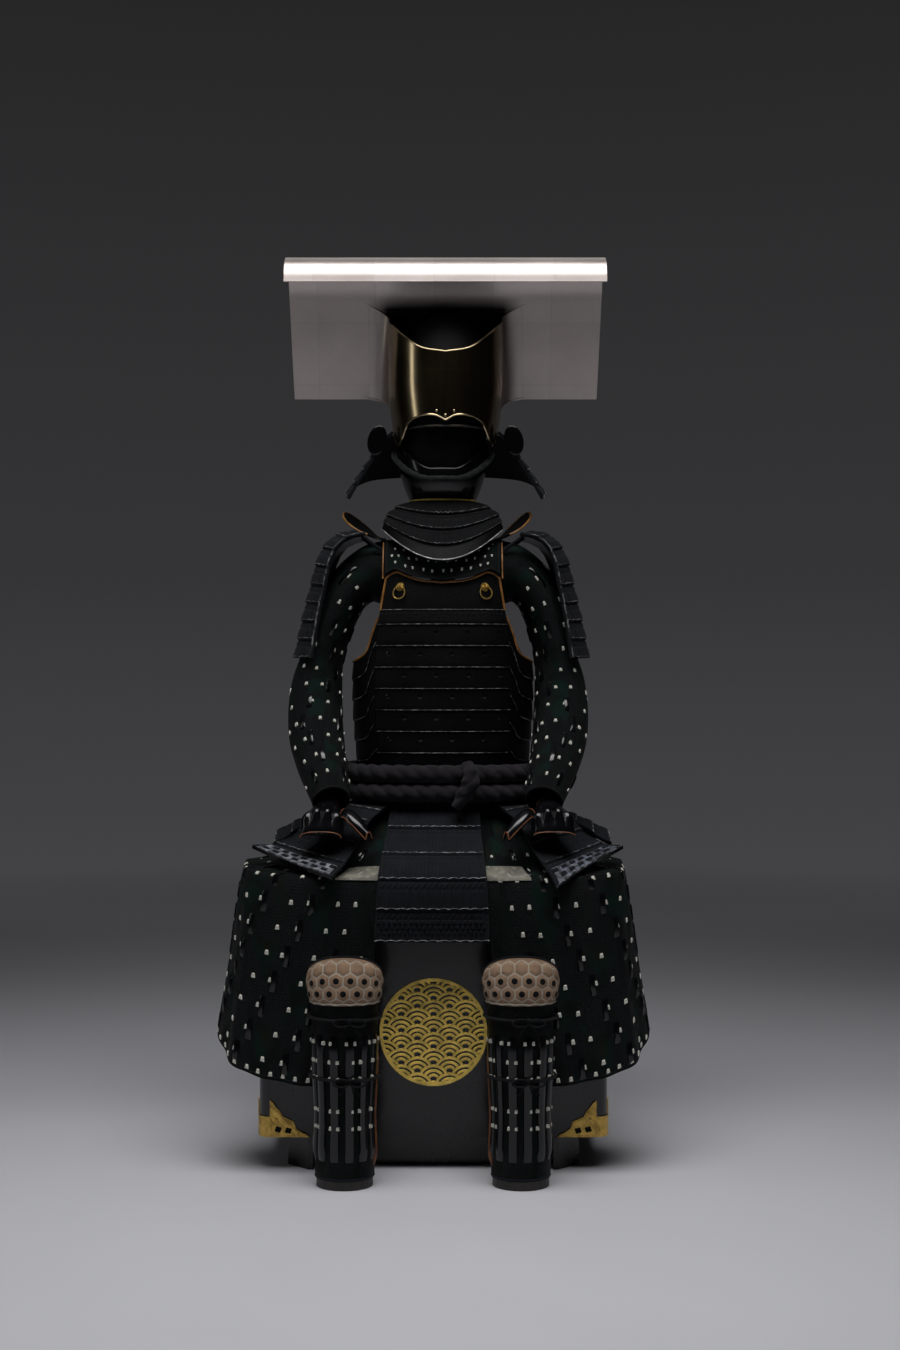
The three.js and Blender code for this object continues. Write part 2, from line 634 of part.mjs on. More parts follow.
function addTassets() {
  add("tasset_front", wall({
    surface: (u, v) => {
      const row = frontTasset(v);
      const x = mix(row.x0, row.x1, u);
      return vec(x, row.y + 0.0018 * x * x * (1 - v), row.z);
    },
    columns: 7, rows: lameRows(FRONT_TASSET_EDGES), innerRows: [0, ...FRONT_TASSET_EDGES],
    thickness: PLATE, side: -1,
  }), "lacing");
  const lapHem = { [LEFT]: { x: 197, y: -302, drop: 24 }, [RIGHT]: { x: 173, y: -300, drop: 6 } };
  addPair("tasset_lap", (side) => tasset({
    from: 32, to: 60, side, shift: ARM_SHIFT, hump: 18, lift: 20, columns: 7,
    hemFrom: lapHem[side], hemTo: { x: 315, y: -200 },
  }), "lacing");
  addPair("tasset_side", (side) => tasset({
    from: 64, to: 112, side, hemFrom: { x: 296, y: -96, drop: 0 }, hemTo: { x: 296, y: 84 }, over: 9,
  }), "lacing");
  addPair("tasset_rear", (side) => tasset({
    from: 116, to: 148, side, over: 0, columns: 5,
    hemFrom: { x: 250, y: 146, drop: 0 }, hemTo: { x: 112, y: 204 },
  }), "lacing");
  add("tasset_back", tasset({
    from: 152, to: 208, hemFrom: { x: 88, y: 216, drop: 0 }, hemTo: { x: -88, y: 216 }, over: 0,
  }), "lacing");
}

// Armoured sleeves: tubes from the shoulder round the elbow to the wrist
const sleeveLine = reader([
  { t: 0, x: 107.8, y: 0, z: 1012, wide: 57, deep: 58 },
  { t: 0.08, x: 132, y: 0, z: 1009, wide: 51, deep: 58 },
  { t: 0.2, x: 165, y: -2, z: 978, wide: 42, deep: 58 },
  { t: 0.32, x: 189, y: -5, z: 926, wide: 38.5, deep: 55 },
  { t: 0.44, x: 205, y: -10, z: 865, wide: 37.4, deep: 53 },
  { t: 0.54, x: 214, y: -19, z: 812, wide: 45, deep: 52 },
  { t: 0.64, x: 216, y: -43, z: 761, wide: 48, deep: 50 },
  { t: 0.74, x: 211, y: -81, z: 714, wide: 48, deep: 47 },
  { t: 0.84, x: 200, y: -126, z: 671, wide: 43, deep: 42 },
  { t: 0.93, x: 187, y: -170, z: 634, wide: 37, deep: 36 },
  { t: 1, x: 181, y: -196, z: 613, wide: 32, deep: 31 },
], "t");

function sleeveFrame(side, t) {
  const e = 0.02;
  const at = (s) => {
    const row = sleeveLine(clamp(s, 0, 1));
    return vec(side * (row.x + 3 * Math.sin(Math.PI * s)) + ARM_SHIFT * ease(s * 1.6), row.y, row.z);
  };
  const tangent = vec(side, 0, 0).lerp(at(t + e).sub(at(t - e)).normalize(), ease(0.1 + t / 0.3)).normalize();
  const wide = vec(0, -1, 0).cross(tangent).normalize().multiplyScalar(side);
  const deep = tangent.clone().cross(wide).normalize().multiplyScalar(side);
  return { at: at(t), wide, deep, tangent };
}

function sleeve(side) {
  return (u, v) => {
    const { at, wide, deep } = sleeveFrame(side, v);
    const row = sleeveLine(v);
    const turn = 2 * Math.PI * u;
    const crease = 1.6 * Math.sin(3 * turn + 9 * v) * Math.sin(Math.PI * clamp(v / 0.5, 0, 1));
    return at.clone().addScaledVector(wide, (row.wide + crease) * Math.cos(turn))
      .addScaledVector(deep, (row.deep + crease) * Math.sin(turn));
  };
}

// Shoulder guards: laced panels curved round the outside of each upper arm
const guardProfile = reader([
  { t: 0, x: 158, z: 1086 },
  { t: 0.14, x: 196, z: 1074 },
  { t: 0.3, x: 220, z: 1042 },
  { t: 0.52, x: 236, z: 983 },
  { t: 0.76, x: 251, z: 920 },
  { t: 1, x: 263.5, z: 857 },
], "t");
const GUARD = { halfWidth: 76, sweep: 36, lames: 8, tie: 3 };

function shoulderGuard(side) {
  return (u, v) => {
    const along = 2 * u - 1;
    const row = guardProfile(v);
    const x = side * (row.x - GUARD.sweep * along * along * (0.6 + 0.4 * v)) + 0.25 * ARM_SHIFT * v;
    const y = GUARD.halfWidth * along * (0.86 + 0.14 * v);
    return vec(x, y, row.z - 10 * along * along * (1 - v));
  };
}

// Hand guards: a plate over each closed hand, with four knuckle bosses, and a smaller one for the thumb
const HAND_FOOT = { [LEFT]: 563, [RIGHT]: 558.8 }; // height of their lower edges at the wrist
const handLine = reader([
  { v: 0, x: 185, y: -190, rise: 618, half: 21 },
  { v: 0.3, x: 189, y: -208, rise: 613, half: 31 },
  { v: 0.55, x: 193, y: -222, rise: 603, half: 35 },
  { v: 0.75, x: 195, y: -234, rise: 590, half: 36 },
  { v: 0.9, x: 196, y: -243, rise: 575, half: 36 },
  { v: 1, x: 196, y: -247, rise: 564, half: 35 },
], "v");
const thumbLine = reader([
  { v: 0, x: 158, y: -214, z: 601, half: 12 },
  { v: 0.35, x: 146, y: -226, z: 599, half: 16 },
  { v: 0.7, x: 129, y: -241, z: 584, half: 15 },
  { v: 1, x: 114, y: -253, z: 564, half: 8 },
], "v");

function handPlate(side) {
  return (u, v) => {
    const row = handLine(v);
    const across = 2 * u - 1;
    const x = row.x + row.half * across;
    const low = HAND_FOOT[side] + (row.y + 190) * 0.1;
    const dome = (1 - Math.abs(across) ** 3) ** 0.5;
    return vec(side * x + ARM_SHIFT, row.y - 4 * (1 - across * across), low + (row.rise - low) * dome);
  };
}

const KNUCKLE = { at: 0.66, spread: 0.14, high: 6.5 };
const knuckles = (v) => {
  const ridge = KNUCKLE.high * Math.exp(-(((v - KNUCKLE.at) / KNUCKLE.spread) ** 2));
  return (u) => ridge * Math.abs(Math.sin(4 * Math.PI * u)) ** 0.8;
};

function thumbPlate(side) {
  const arch = 16;
  return (u, v) => {
    const row = thumbLine(v);
    const across = 2 * u - 1;
    return vec(side * (row.x + 0.6 * row.half * across) + ARM_SHIFT, row.y - 0.8 * row.half * across,
      row.z - arch * (1 - (1 - Math.abs(across) ** 2.2) ** 0.5));
  };
}

function addArms() {
  const rows = [0, 0.08, 0.16, 0.25, 0.35, 0.45, 0.54, 0.61, 0.68, 0.76, 0.88, 1];
  addPair("sleeve", (side) => wall({
    surface: sleeve(side), columns: 13, rows, innerRows: rows, thickness: CLOTH, side, loop: true,
  }), "brocade");
  addPair("shoulder_guard", (side) => {
    const panel = wall({
      surface: shoulderGuard(side), columns: 6, rows: lameRows(evenly(GUARD.lames)), innerRows: steps(6),
      thickness: PLATE, side: -side,
    });
    const cord = (y) => bar((t) => vec(side * mix(STRAP.outer + 1.7, 150, t), y, mix(1048, 1079, t)),
      { segments: 2, sides: 5, radius: GUARD.tie, up: vec(0, 1, 0) });
    return union(panel, cord(-53), cord(53));
  }, "lacing");
  const knuckleRows = steps(7).map((at) => ({ at, raise: knuckles(at) }));
  const hand = { innerRows: steps(4), thickness: 2 };
  addPair("hand_guard", (side) => union(
    wall({ ...hand, surface: handPlate(side), columns: 16, rows: knuckleRows, side: -side }),
    wall({ ...hand, surface: thumbPlate(side), columns: 6, rows: steps(4), side: -side }),
  ), "lacquer");
}

// Shin guards round their stands, with quilted knee guards above
const shinPlan = reader([
  { z: 14, rx: 48, ry: 43 },
  { z: 60, rx: 49, ry: 43 },
  { z: 110, rx: 47, ry: 42 },
  { z: 180, rx: 50, ry: 44 },
  { z: 250, rx: 53, ry: 45 },
  { z: 296, rx: 54, ry: 45 },
], "z");
const kneePlan = reader([
  { z: 296.4, rx: 55, ry: 46, y: 0 },
  { z: 318, rx: 60, ry: 48, y: 0 },
  { z: 348, rx: 61, ry: 46, y: 3 },
  { z: 374, rx: 57, ry: 38, y: 8 },
], "z");

function addShins() {
  addPair("shin_guard", (side) => wall({
    surface: (u, v) => {
      const z = mix(SHIN.top, SHIN.bottom, v);
      const { rx, ry } = shinPlan(z);
      const turn = 2 * Math.PI * u;
      return vec(side * SHIN.x + rx * Math.sin(turn), SHIN.y - ry * Math.cos(turn), z);
    },
    columns: 16, rows: steps(4), innerRows: steps(3), thickness: CLOTH, side: -1, loop: true,
  }), "brocade", armour);
  addPair("knee_guard", (side) => wall({
    surface: (u, v) => {
      const turn = radians(mix(-104, 104, u));
      const round = 1 - 0.6 * Math.abs(2 * u - 1) ** 2.2;
      const z = mix(SHIN.top + GAP, SHIN.kneeTop, v * round);
      const row = kneePlan(z);
      return vec(side * SHIN.x + row.rx * Math.sin(turn), SHIN.y + row.y - row.ry * Math.cos(turn), z);
    },
    columns: 12, rows: steps(5), innerRows: steps(5), thickness: CLOTH + 1, side: 1,
  }), "kneeCloth", armour);
  addPair("shin_stand", (side) => {
    const at = (part, z) => part.rotateX(Math.PI / 2).translate(side * SHIN.x, SHIN.y, z);
    const disc = at(new THREE.CylinderGeometry(SHIN.discRadius, SHIN.discRadius, 14, 24), 7);
    disc.translate(0, -SHIN.y, 0).scale(1, 43 / 46, 1).translate(0, SHIN.y, 0);
    const post = at(new THREE.CylinderGeometry(22, 22, 330, 12), 170);
    return union(disc, post);
  }, "wood", armour);
}

// The stand's head, which carries helmet and mask: a plain, featureless ovoid
const headPlan = reader([
  { z: 1118, rx: 42, ry: 42 },
  { z: 1140, rx: 55, ry: 62 },
  { z: 1170, rx: 67, ry: 79 },
  { z: 1205, rx: 76, ry: 86 },
  { z: 1245, rx: 79, ry: 90 },
  { z: 1300, rx: 78.5, ry: 91 },
  { z: 1350, rx: 72, ry: 83 },
  { z: 1400, rx: 54, ry: 64 },
  { z: 1440, rx: 24, ry: 30 },
  { z: 1452, rx: 6, ry: 7 },
], "z");

function head(degrees, z, off = 0) {
  const { rx, ry } = headPlan(z);
  return vec((rx + off) * Math.sin(radians(degrees)), -(ry + off) * Math.cos(radians(degrees)), z);
}

function ellipsoidalSolid(at, heights, sides) {
  const ring = (z) => Array.from({ length: sides }, (_, i) => at((360 * i) / sides, z));
  return loft(heights.map(ring), { cap: fanCap });
}

function addStand() {
  const board = { half: 105, thick: 17, low: 1005, high: STRAP.top - GAP - 2.5 };
  const shoulder = new THREE.ExtrudeGeometry(new THREE.Shape([
    [-board.half, board.high], [-55, board.high], [-30, board.high + 18], [30, board.high + 18],
    [55, board.high], [board.half, board.high], [board.half, board.high - 22], [40, board.low], [-40, board.low],
    [-board.half, board.high - 22],
  ].map(([x, z]) => new THREE.Vector2(x, z)).reverse()), { depth: 2 * board.thick, bevelEnabled: false });
  shoulder.rotateX(Math.PI / 2).translate(0, board.thick, 0);
  const heads = [1118, 1140, 1170, 1205, 1245, 1300, 1350, 1390, 1425, 1452];
  add("armour_stand", union(
    box(-100, 100, -75, 75, CHEST.top + GAP, CHEST.top + 16),
    box(-22, 22, -22, 22, CHEST.top + 10, 1125),
    shoulder,
    ellipsoidalSolid((a, z) => head(a, z), heads, 18),
  ), "wood");
}

// Face guard and throat guard
const MASK = { half: 104, low: 1137, front: 1190, ear: 1238 };

function mask(u, v) {
  const turn = mix(-MASK.half, MASK.half, u);
  const top = mix(MASK.front, MASK.ear, ease((Math.abs(turn) - 14) / 62));
  const z = mix(MASK.low, top, v);
  const forward = Math.cos(radians(Math.min(90, Math.abs(turn))));
  const chin = 8 * forward * Math.sin(Math.PI * clamp(v * 0.8 + 0.15, 0, 1));
  return head(turn, z, 2 * GAP + PLATE + 1.2 * (1 - v) + chin);
}

const throatHalf = reader([{ v: 0, x: 56 }, { v: 0.25, x: 84 }, { v: 0.5, x: 98 }, { v: 1, x: 105 }], "v");

const throat = (u, v) => {
  const turn = mix(-96, 96, u);
  const [s, c] = [Math.sin(radians(turn)), Math.cos(radians(turn))];
  const lean = Math.max(0, c) ** 2;
  return vec(throatHalf(v).x * s, -18 - mix(50, 112, v ** 0.8) * c, MASK.low - 0.7 - v * (50 + 62 * lean));
};

function addFaceGuard() {
  add("face_mask", wall({
    surface: mask, columns: 20, rows: steps(5), innerRows: steps(4), thickness: PLATE, side: 1,
  }), "lacquer");
  add("throat_guard", wall({
    surface: throat, columns: 16, rows: lameRows(evenly(4), 3.2), innerRows: steps(4),
    thickness: PLATE, side: -1,
  }), "lacing");
  // The chin cord, tied under the chin
  const cordLine = reader([
    { t: 0, turn: -92, v: 0.88 },
    { t: 0.3, turn: -50, v: 0.68 },
    { t: 0.5, turn: 0, v: 0.66 },
    { t: 0.7, turn: 50, v: 0.68 },
    { t: 1, turn: 92, v: 0.88 },
  ], "t");
  const radius = 5.5;
  add("chin_cord", bar((t) => {
    const row = cordLine(t);
    const u = (row.turn + MASK.half) / (2 * MASK.half);
    return mask(u, row.v).addScaledVector(normalAt(mask, u, row.v, 1), radius + 0.8);
  }, { segments: 18, sides: 6, radius }), "rope");
}

// Helmet: a black bowl inside a silvered sheet that rises behind it like a cliff and curls forward at the top
const bowlPlan = reader([
  { z: 1262, rx: 88.5, ry: 110 },
  { z: 1300, rx: 93.5, ry: 114 },
  { z: 1350, rx: 95, ry: 115 },
  { z: 1395, rx: 87, ry: 105 },
  { z: 1435, rx: 68, ry: 81 },
  { z: 1462, rx: 44, ry: 52 },
  { z: 1476, rx: 14, ry: 16 },
], "z");
const CREST = {
  half: 281.5, halfFoot: 277.5, foot: 1335, widening: 180, tip: 143, fillet: 41, sideY: -16, frontY: -118,
};
const plateLine = reader([
  { z: 1236, y: 112 }, { z: 1335, y: 70 }, { z: 1420, y: 35 }, { z: 1497, y: 5 }, { z: 1520, y: -5 },
], "z");
const bulgeSide = reader([
  { z: 1236, x: 91 }, { z: 1262, x: 92.5 }, { z: 1300, x: 98 }, { z: 1345, x: 102 }, { z: 1500, x: 102 },
], "z");

// The bulge on the plate: s runs from one tip (0) over the front (1) and back. Its edges are given for one half.
const bulgeTop = reader([
  { s: 0, z: 1497 }, { s: 0.07, z: 1486 }, { s: 0.143, z: 1475 }, { s: 0.22, z: 1468 }, { s: 0.42, z: 1460 },
  { s: 0.52, z: 1452 }, { s: 0.6, z: 1442 }, { s: 0.68, z: 1428 }, { s: 0.84, z: 1400 }, { s: 1, z: 1391 },
], "s");
const bulgeFoot = reader([
  { s: 0, z: 1336 }, { s: 0.12, z: 1326 }, { s: 0.22, z: 1305 }, { s: 0.34, z: 1272 }, { s: 0.46, z: 1248 },
  { s: 0.56, z: 1234 }, { s: 0.62, z: 1242 }, { s: 0.7, z: 1266 }, { s: 0.78, z: 1277 }, { s: 0.86, z: 1281 },
  { s: 0.93, z: 1280 }, { s: 1, z: 1271 },
], "s");

function bulge(s, z) {
  const plate = plateLine(z).y;
  const { tip, fillet, sideY, frontY } = CREST;
  const sideX = bulgeSide(z).x;
  const [endFillet, endSide] = [0.22, 0.42];
  const middleY = plate - (plate - sideY) * 0.5;
  if (s < endFillet) {
    const turn = (s / endFillet) * (Math.PI / 2);
    const reach = tip - sideX > 0 ? tip - sideX : fillet;
    return { x: tip - reach * Math.sin(turn), y: mix(plate, middleY, 1 - Math.cos(turn)) };
  }
  if (s < endSide) return { x: sideX, y: mix(middleY, sideY, (s - endFillet) / (endSide - endFillet)) };
  const turn = ((s - endSide) / (1 - endSide)) * (Math.PI / 2);
  return { x: sideX * Math.cos(turn), y: sideY + (frontY - sideY) * Math.sin(turn) };
}

function addHelmet() {
  const ring = (a, z, off) => {
    const { rx, ry } = bowlPlan(z);
    return vec((rx + off) * Math.sin(radians(a)), 2 - (ry + off) * Math.cos(radians(a)), z);
  };
  const heights = [1262, 1300, 1350, 1395, 1435, 1460, 1476];
  const shell = 3;
  const inner = [1261, 1300, 1350, 1392, 1430, 1454];
  add("helmet_bowl", cut(
    ellipsoidalSolid((a, z) => ring(a, z, 0), heights, 20),
    ellipsoidalSolid((a, z) => (z < 1262 ? ring(a, 1262, -shell).setZ(1261) : ring(a, z, -shell)), inner, 20),
  ), "lacquer", helmet);

  // The plate: flat from its foot up, then over into the curled lip, with an arch cut out round the bowl
  const profile = reader([
    { t: 0, y: 70, z: CREST.foot }, { t: 0.34, y: 35, z: 1420 }, { t: 0.6, y: 5, z: 1497 },
    { t: 0.7, y: -7, z: 1524 }, { t: 0.77, y: -24, z: 1546 }, { t: 0.83, y: -49, z: 1560 },
    { t: 0.88, y: -76, z: 1563.5 }, { t: 0.93, y: -104, z: 1551 }, { t: 0.97, y: -118, z: 1531 },
    { t: 1, y: -123, z: 1512 },
  ], "t");
  const places = [
    0, 0.12, 0.24, 0.36, 0.48, 0.6, 0.65, 0.7, 0.735, 0.77, 0.8, 0.83, 0.855, 0.88, 0.905, 0.93, 0.95, 0.97, 1,
  ];
  const plate = wall({
    surface: (u, v) => {
      const { y, z } = profile(v);
      const half = mix(CREST.halfFoot, CREST.half, clamp((z - CREST.foot) / CREST.widening, 0, 1));
      return vec(mix(-half, half, u), y + LEAF, z);
    },
    columns: 1, rows: places, innerRows: places, thickness: LEAF, side: -1,
  });
  const archClear = 1.4;
  const arch = ellipsoidalSolid((a, z) => ring(a, clamp(z, 1262, 1476), archClear).setZ(z),
    [1260, 1300, 1350, 1395, 1420, 1445, 1462, 1478], 24);
  const front = wall({
    surface: (u, v) => {
      const s = 1 - Math.abs(2 * u - 1);
      const z = mix(bulgeTop(s).z, bulgeFoot(s).z, v);
      const { x, y } = bulge(s, z);
      return vec(u < 0.5 ? -x : x, y, z);
    },
    columns: 28, rows: steps(4), innerRows: steps(3), thickness: LEAF, side: -1,
  });
  add("helmet_crest", union(cut(plate, arch), front), "silver", helmet);

  // Neck guard: lames that flare from the bowl's rim, open at the face, lower at the front ends
  const neckFoot = reader([
    { turn: 76, z: 1141 }, { turn: 95, z: 1156 }, { turn: 130, z: 1190 }, { turn: 180, z: 1206 },
  ], "turn");
  add("neck_guard", wall({
    surface: (u, v) => {
      const turn = mix(76, 284, u);
      const foot = neckFoot(turn > 180 ? 360 - turn : turn).z;
      const [rx, ry] = [mix(97, 178, v ** 0.85), mix(119, 164, v)];
      return vec(rx * Math.sin(radians(turn)), 4 - ry * Math.cos(radians(turn)), mix(1261.5, foot, v));
    },
    columns: 16, rows: lameRows(evenly(5), 3), innerRows: steps(3), thickness: PLATE, side: -1,
  }), "lacing", helmet);
  addPair("turn_back", (side) => {
    const oval = new THREE.Shape().absellipse(0, 0, 17, 27, 0, 2 * Math.PI);
    const plate = new THREE.ExtrudeGeometry(oval, { depth: 3, bevelEnabled: false, curveSegments: 10 });
    return upright(plate.rotateX(Math.PI / 2).rotateY(side * radians(-14)).translate(side * 122, -29.8, 1246));
  }, "lacquer", helmet);
}

addChest();
addStand();
addCuirass();
addRings();
addSash();
addTassets();
addThighGuards();
addArms();
addShins();
addFaceGuard();
addHelmet();

// The part's own origin is on the floor, under the middle of its outline.
const bounds = new THREE.Box3().setFromObject(armour, true);
armour.position.set(-(bounds.min.x + bounds.max.x) / 2, -(bounds.min.y + bounds.max.y) / 2, -bounds.min.z);

export default armour;
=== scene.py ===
"""Looks of a suit of samurai armour that sits on its lacquered armour chest.

Tables are in millimetres, in the seat frame: x = 0 in the middle, y = 0 at the torso's axis and z = 0 on
the floor. place() turns them into metres in the row frame. Patterns are laid out in millimetres on each
piece's own cut.
"""

import math

import bpy
import numpy as np
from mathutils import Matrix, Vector


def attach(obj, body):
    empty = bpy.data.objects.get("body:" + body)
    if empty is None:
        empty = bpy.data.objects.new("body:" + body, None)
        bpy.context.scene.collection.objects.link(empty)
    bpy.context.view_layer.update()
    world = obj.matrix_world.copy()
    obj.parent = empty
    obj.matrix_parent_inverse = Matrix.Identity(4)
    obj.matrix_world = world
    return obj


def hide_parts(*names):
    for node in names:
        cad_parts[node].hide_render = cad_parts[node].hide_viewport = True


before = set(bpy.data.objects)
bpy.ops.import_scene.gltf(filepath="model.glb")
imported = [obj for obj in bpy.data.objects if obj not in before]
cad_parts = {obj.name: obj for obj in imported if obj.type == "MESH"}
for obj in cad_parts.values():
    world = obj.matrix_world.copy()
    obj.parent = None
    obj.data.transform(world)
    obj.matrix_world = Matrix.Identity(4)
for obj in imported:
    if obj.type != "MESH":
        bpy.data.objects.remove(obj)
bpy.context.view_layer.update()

# Driving sizes, the same as the solids'
GAP = 0.4
PLATE = 2.5
CLOTH = 3.0
LEAF = 3.0
LAME_STEP = 2.6
LEFT, RIGHT = 1, -1
SIDES = {LEFT: "left", RIGHT: "right"}
SEAT_Y = 71.955
BODY_SHIFT = 15
HELMET_SHIFT = 20
ARM_SHIFT = -8
SQUARE = 0.86
FRONT_EDGE = 44
SEAM = 0.3
PITCH = 37.4
SHARP = 38

random = np.random.default_rng(11)


# Small mathematics
def mix(a, b, t):
    return a + (b - a) * t


def ease(t):
    t = np.clip(t, 0, 1)
    return t * t * (3 - 2 * t)


def vec(x, y, z):
    return np.stack(np.broadcast_arrays(x, y, z), axis=-1).astype(float)


def steps(run):
    """A number of even steps from 0 to 1, or the steps themselves."""
    return np.linspace(0, 1, run) if isinstance(run, int) else np.asarray(run, float)


def pairs(first, second):
    """All pairs of two counts, as two flat runs."""
    i, k = np.meshgrid(np.arange(first), np.arange(second), indexing="ij")
    return i.ravel(), k.ravel()


def ring_faces(rings, size):
    """Faces between closed rings of points, one ring after another."""
    i, k = pairs(rings - 1, size)
    n = (k + 1) % size
    return np.stack([i * size + k, i * size + n, (i + 1) * size + n, (i + 1) * size + k], axis=1)


def barrel_faces(columns, levels):
    """Faces round a barrel whose points run up one column after another."""
    i, k = pairs(columns, levels - 1)
    j = (i + 1) % columns
    return np.stack([i * levels + k, j * levels + k, j * levels + k + 1, i * levels + k + 1], axis=1)


def unit(a):
    return a / np.maximum(np.linalg.norm(a, axis=-1, keepdims=True), 1e-12)


def place(points, shift=0.0):
    return (np.asarray(points, float) + np.array([shift, SEAT_Y, 0.0])) / 1000


def reader(rows):
    """Reads a table at any value of its first column, with a smooth curve through the rows."""
    rows = np.array(rows, float)
    keys, values = rows[:, 0], rows[:, 1:]
    last = len(rows) - 1

    def read(value):
        value = np.asarray(value, float)
        end = np.clip(np.searchsorted(keys, value, side="left"), 1, last)
        start = end - 1
        before = np.clip(end - 2, 0, last)
        after = np.clip(end + 1, 0, last)
        span = (keys[end] - keys[start])[..., None]
        t = np.clip((value - keys[start])[..., None] / span, 0, 1)
        slope_in = (values[end] - values[before]) / (keys[end] - keys[before])[..., None] * span
        slope_out = (values[after] - values[start]) / (keys[after] - keys[start])[..., None] * span
        out = (
            (2 * t**3 - 3 * t**2 + 1) * values[start]
            + (t**3 - 2 * t**2 + t) * slope_in
            + (3 * t**2 - 2 * t**3) * values[end]
            + (t**3 - t**2) * slope_out
        )
        return np.moveaxis(out, -1, 0)

    return read


def normals(surface, u, v, side):
    e = 1e-3
    u0, u1 = np.maximum(u - e, 0), np.minimum(u + e, 1)
    v0, v1 = np.maximum(v - e, 0), np.minimum(v + e, 1)
    across = surface(u1, v) - surface(u0, v)
    along = surface(u, v1) - surface(u, v0)
    return side * unit(np.cross(across, along))


def raised(surface, u, v, side, by):
    by = np.broadcast_to(np.asarray(by, float), np.shape(u))
    return surface(u, v) + normals(surface, u, v, side) * by[..., None]


class Cut:
    """A surface(u, v) with its size: s and t are millimetres across and along it, from u = 0 and v = 0."""

    def __init__(self, surface, side=1, samples=80):
        self.surface, self.side = surface, side
        at = steps(samples + 1)
        u, v = np.meshgrid(at, at, indexing="ij")
        points = surface(u, v)
        across = np.linalg.norm(np.diff(points, axis=0), axis=-1).mean(axis=1)
        along = np.linalg.norm(np.diff(points, axis=1), axis=-1).mean(axis=0)
        self.at = at
        self.s = np.concatenate([[0], np.cumsum(across)])
        self.t = np.concatenate([[0], np.cumsum(along)])
        self.width, self.length = self.s[-1], self.t[-1]

    def uv(self, s, t):
        return np.interp(s, self.s, self.at), np.interp(t, self.t, self.at)

    def st(self, u, v):
        return np.interp(u, self.at, self.s), np.interp(v, self.at, self.t)

    def on(self, u, v, by=0.0):
        return raised(self.surface, np.asarray(u, float), np.asarray(v, float), self.side, by)


# Mesh building
def wear(obj, slot, *nodes):
    """The object rides on the armour and stands for the nodes' solids, which it hides; slot is not used."""
    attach(obj, "armour")
    if nodes:
        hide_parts(*nodes)
    return obj


class Piece:
    """Collects faces, each with its material's place and its corners on the cut, into one object."""

    def __init__(self, shift=0.0):
        self.shift = shift
        self.points, self.faces, self.looks, self.corners = [], [], [], []
        self.count = 0

    def add(self, points, faces, look=0, uv=None):
        points = np.asarray(points, float).reshape(-1, 3)
        faces = np.asarray(faces, int)
        if uv is None:
            uv = np.zeros(faces.shape + (2,))
        self.points.append(points)
        self.faces.append(faces + self.count)
        self.looks.append(np.broadcast_to(look, len(faces)))
        self.corners.append(uv)
        self.count += len(points)

    def cap(self, ring, turned=False, look=0):
        """One flat face over points that are already in the piece."""
        self.faces.append(ring[None, :: -1 if turned else 1])
        self.looks.append(np.full(1, look))
        self.corners.append(np.zeros((1, len(ring), 2)))

    def make(self, name, materials):
        points = place(np.concatenate(self.points), self.shift)
        sizes = np.concatenate([np.full(len(f), f.shape[1]) for f in self.faces])
        mesh = bpy.data.meshes.new(name)
        mesh.vertices.add(len(points))
        mesh.vertices.foreach_set("co", points.astype(np.float32).ravel())
        mesh.loops.add(int(sizes.sum()))
        corners = np.concatenate([f.ravel() for f in self.faces])
        mesh.loops.foreach_set("vertex_index", corners.astype(np.int32))
        mesh.polygons.add(len(sizes))
        starts = np.concatenate([[0], np.cumsum(sizes)[:-1]])
        mesh.polygons.foreach_set("loop_start", starts.astype(np.int32))
        mesh.polygons.foreach_set("material_index", np.concatenate(self.looks).astype(np.int32))
        mesh.update(calc_edges=True)
        layer = mesh.uv_layers.new(name="cut")
        uv = np.concatenate([c.reshape(-1, 2) for c in self.corners]) / 1000
        layer.data.foreach_set("uv", uv.astype(np.float32).ravel())
        for material in materials:
            mesh.materials.append(material)
        mesh.validate()
        mesh.shade_smooth()
        mesh.set_sharp_from_angle(angle=math.radians(SHARP))
        obj = bpy.data.objects.new(name, mesh)
        bpy.context.scene.collection.objects.link(obj)
        return obj

    def wear(self, name, materials, slot, *nodes):
        return wear(self.make(name, materials), slot, *nodes)


def corner_places(s, t, corners):
    """Places on the cut of each face's four corners, from the numbers of their columns and rows."""
    return np.stack([np.stack([s[column], t[row]], 1) for column, row in corners], axis=1)


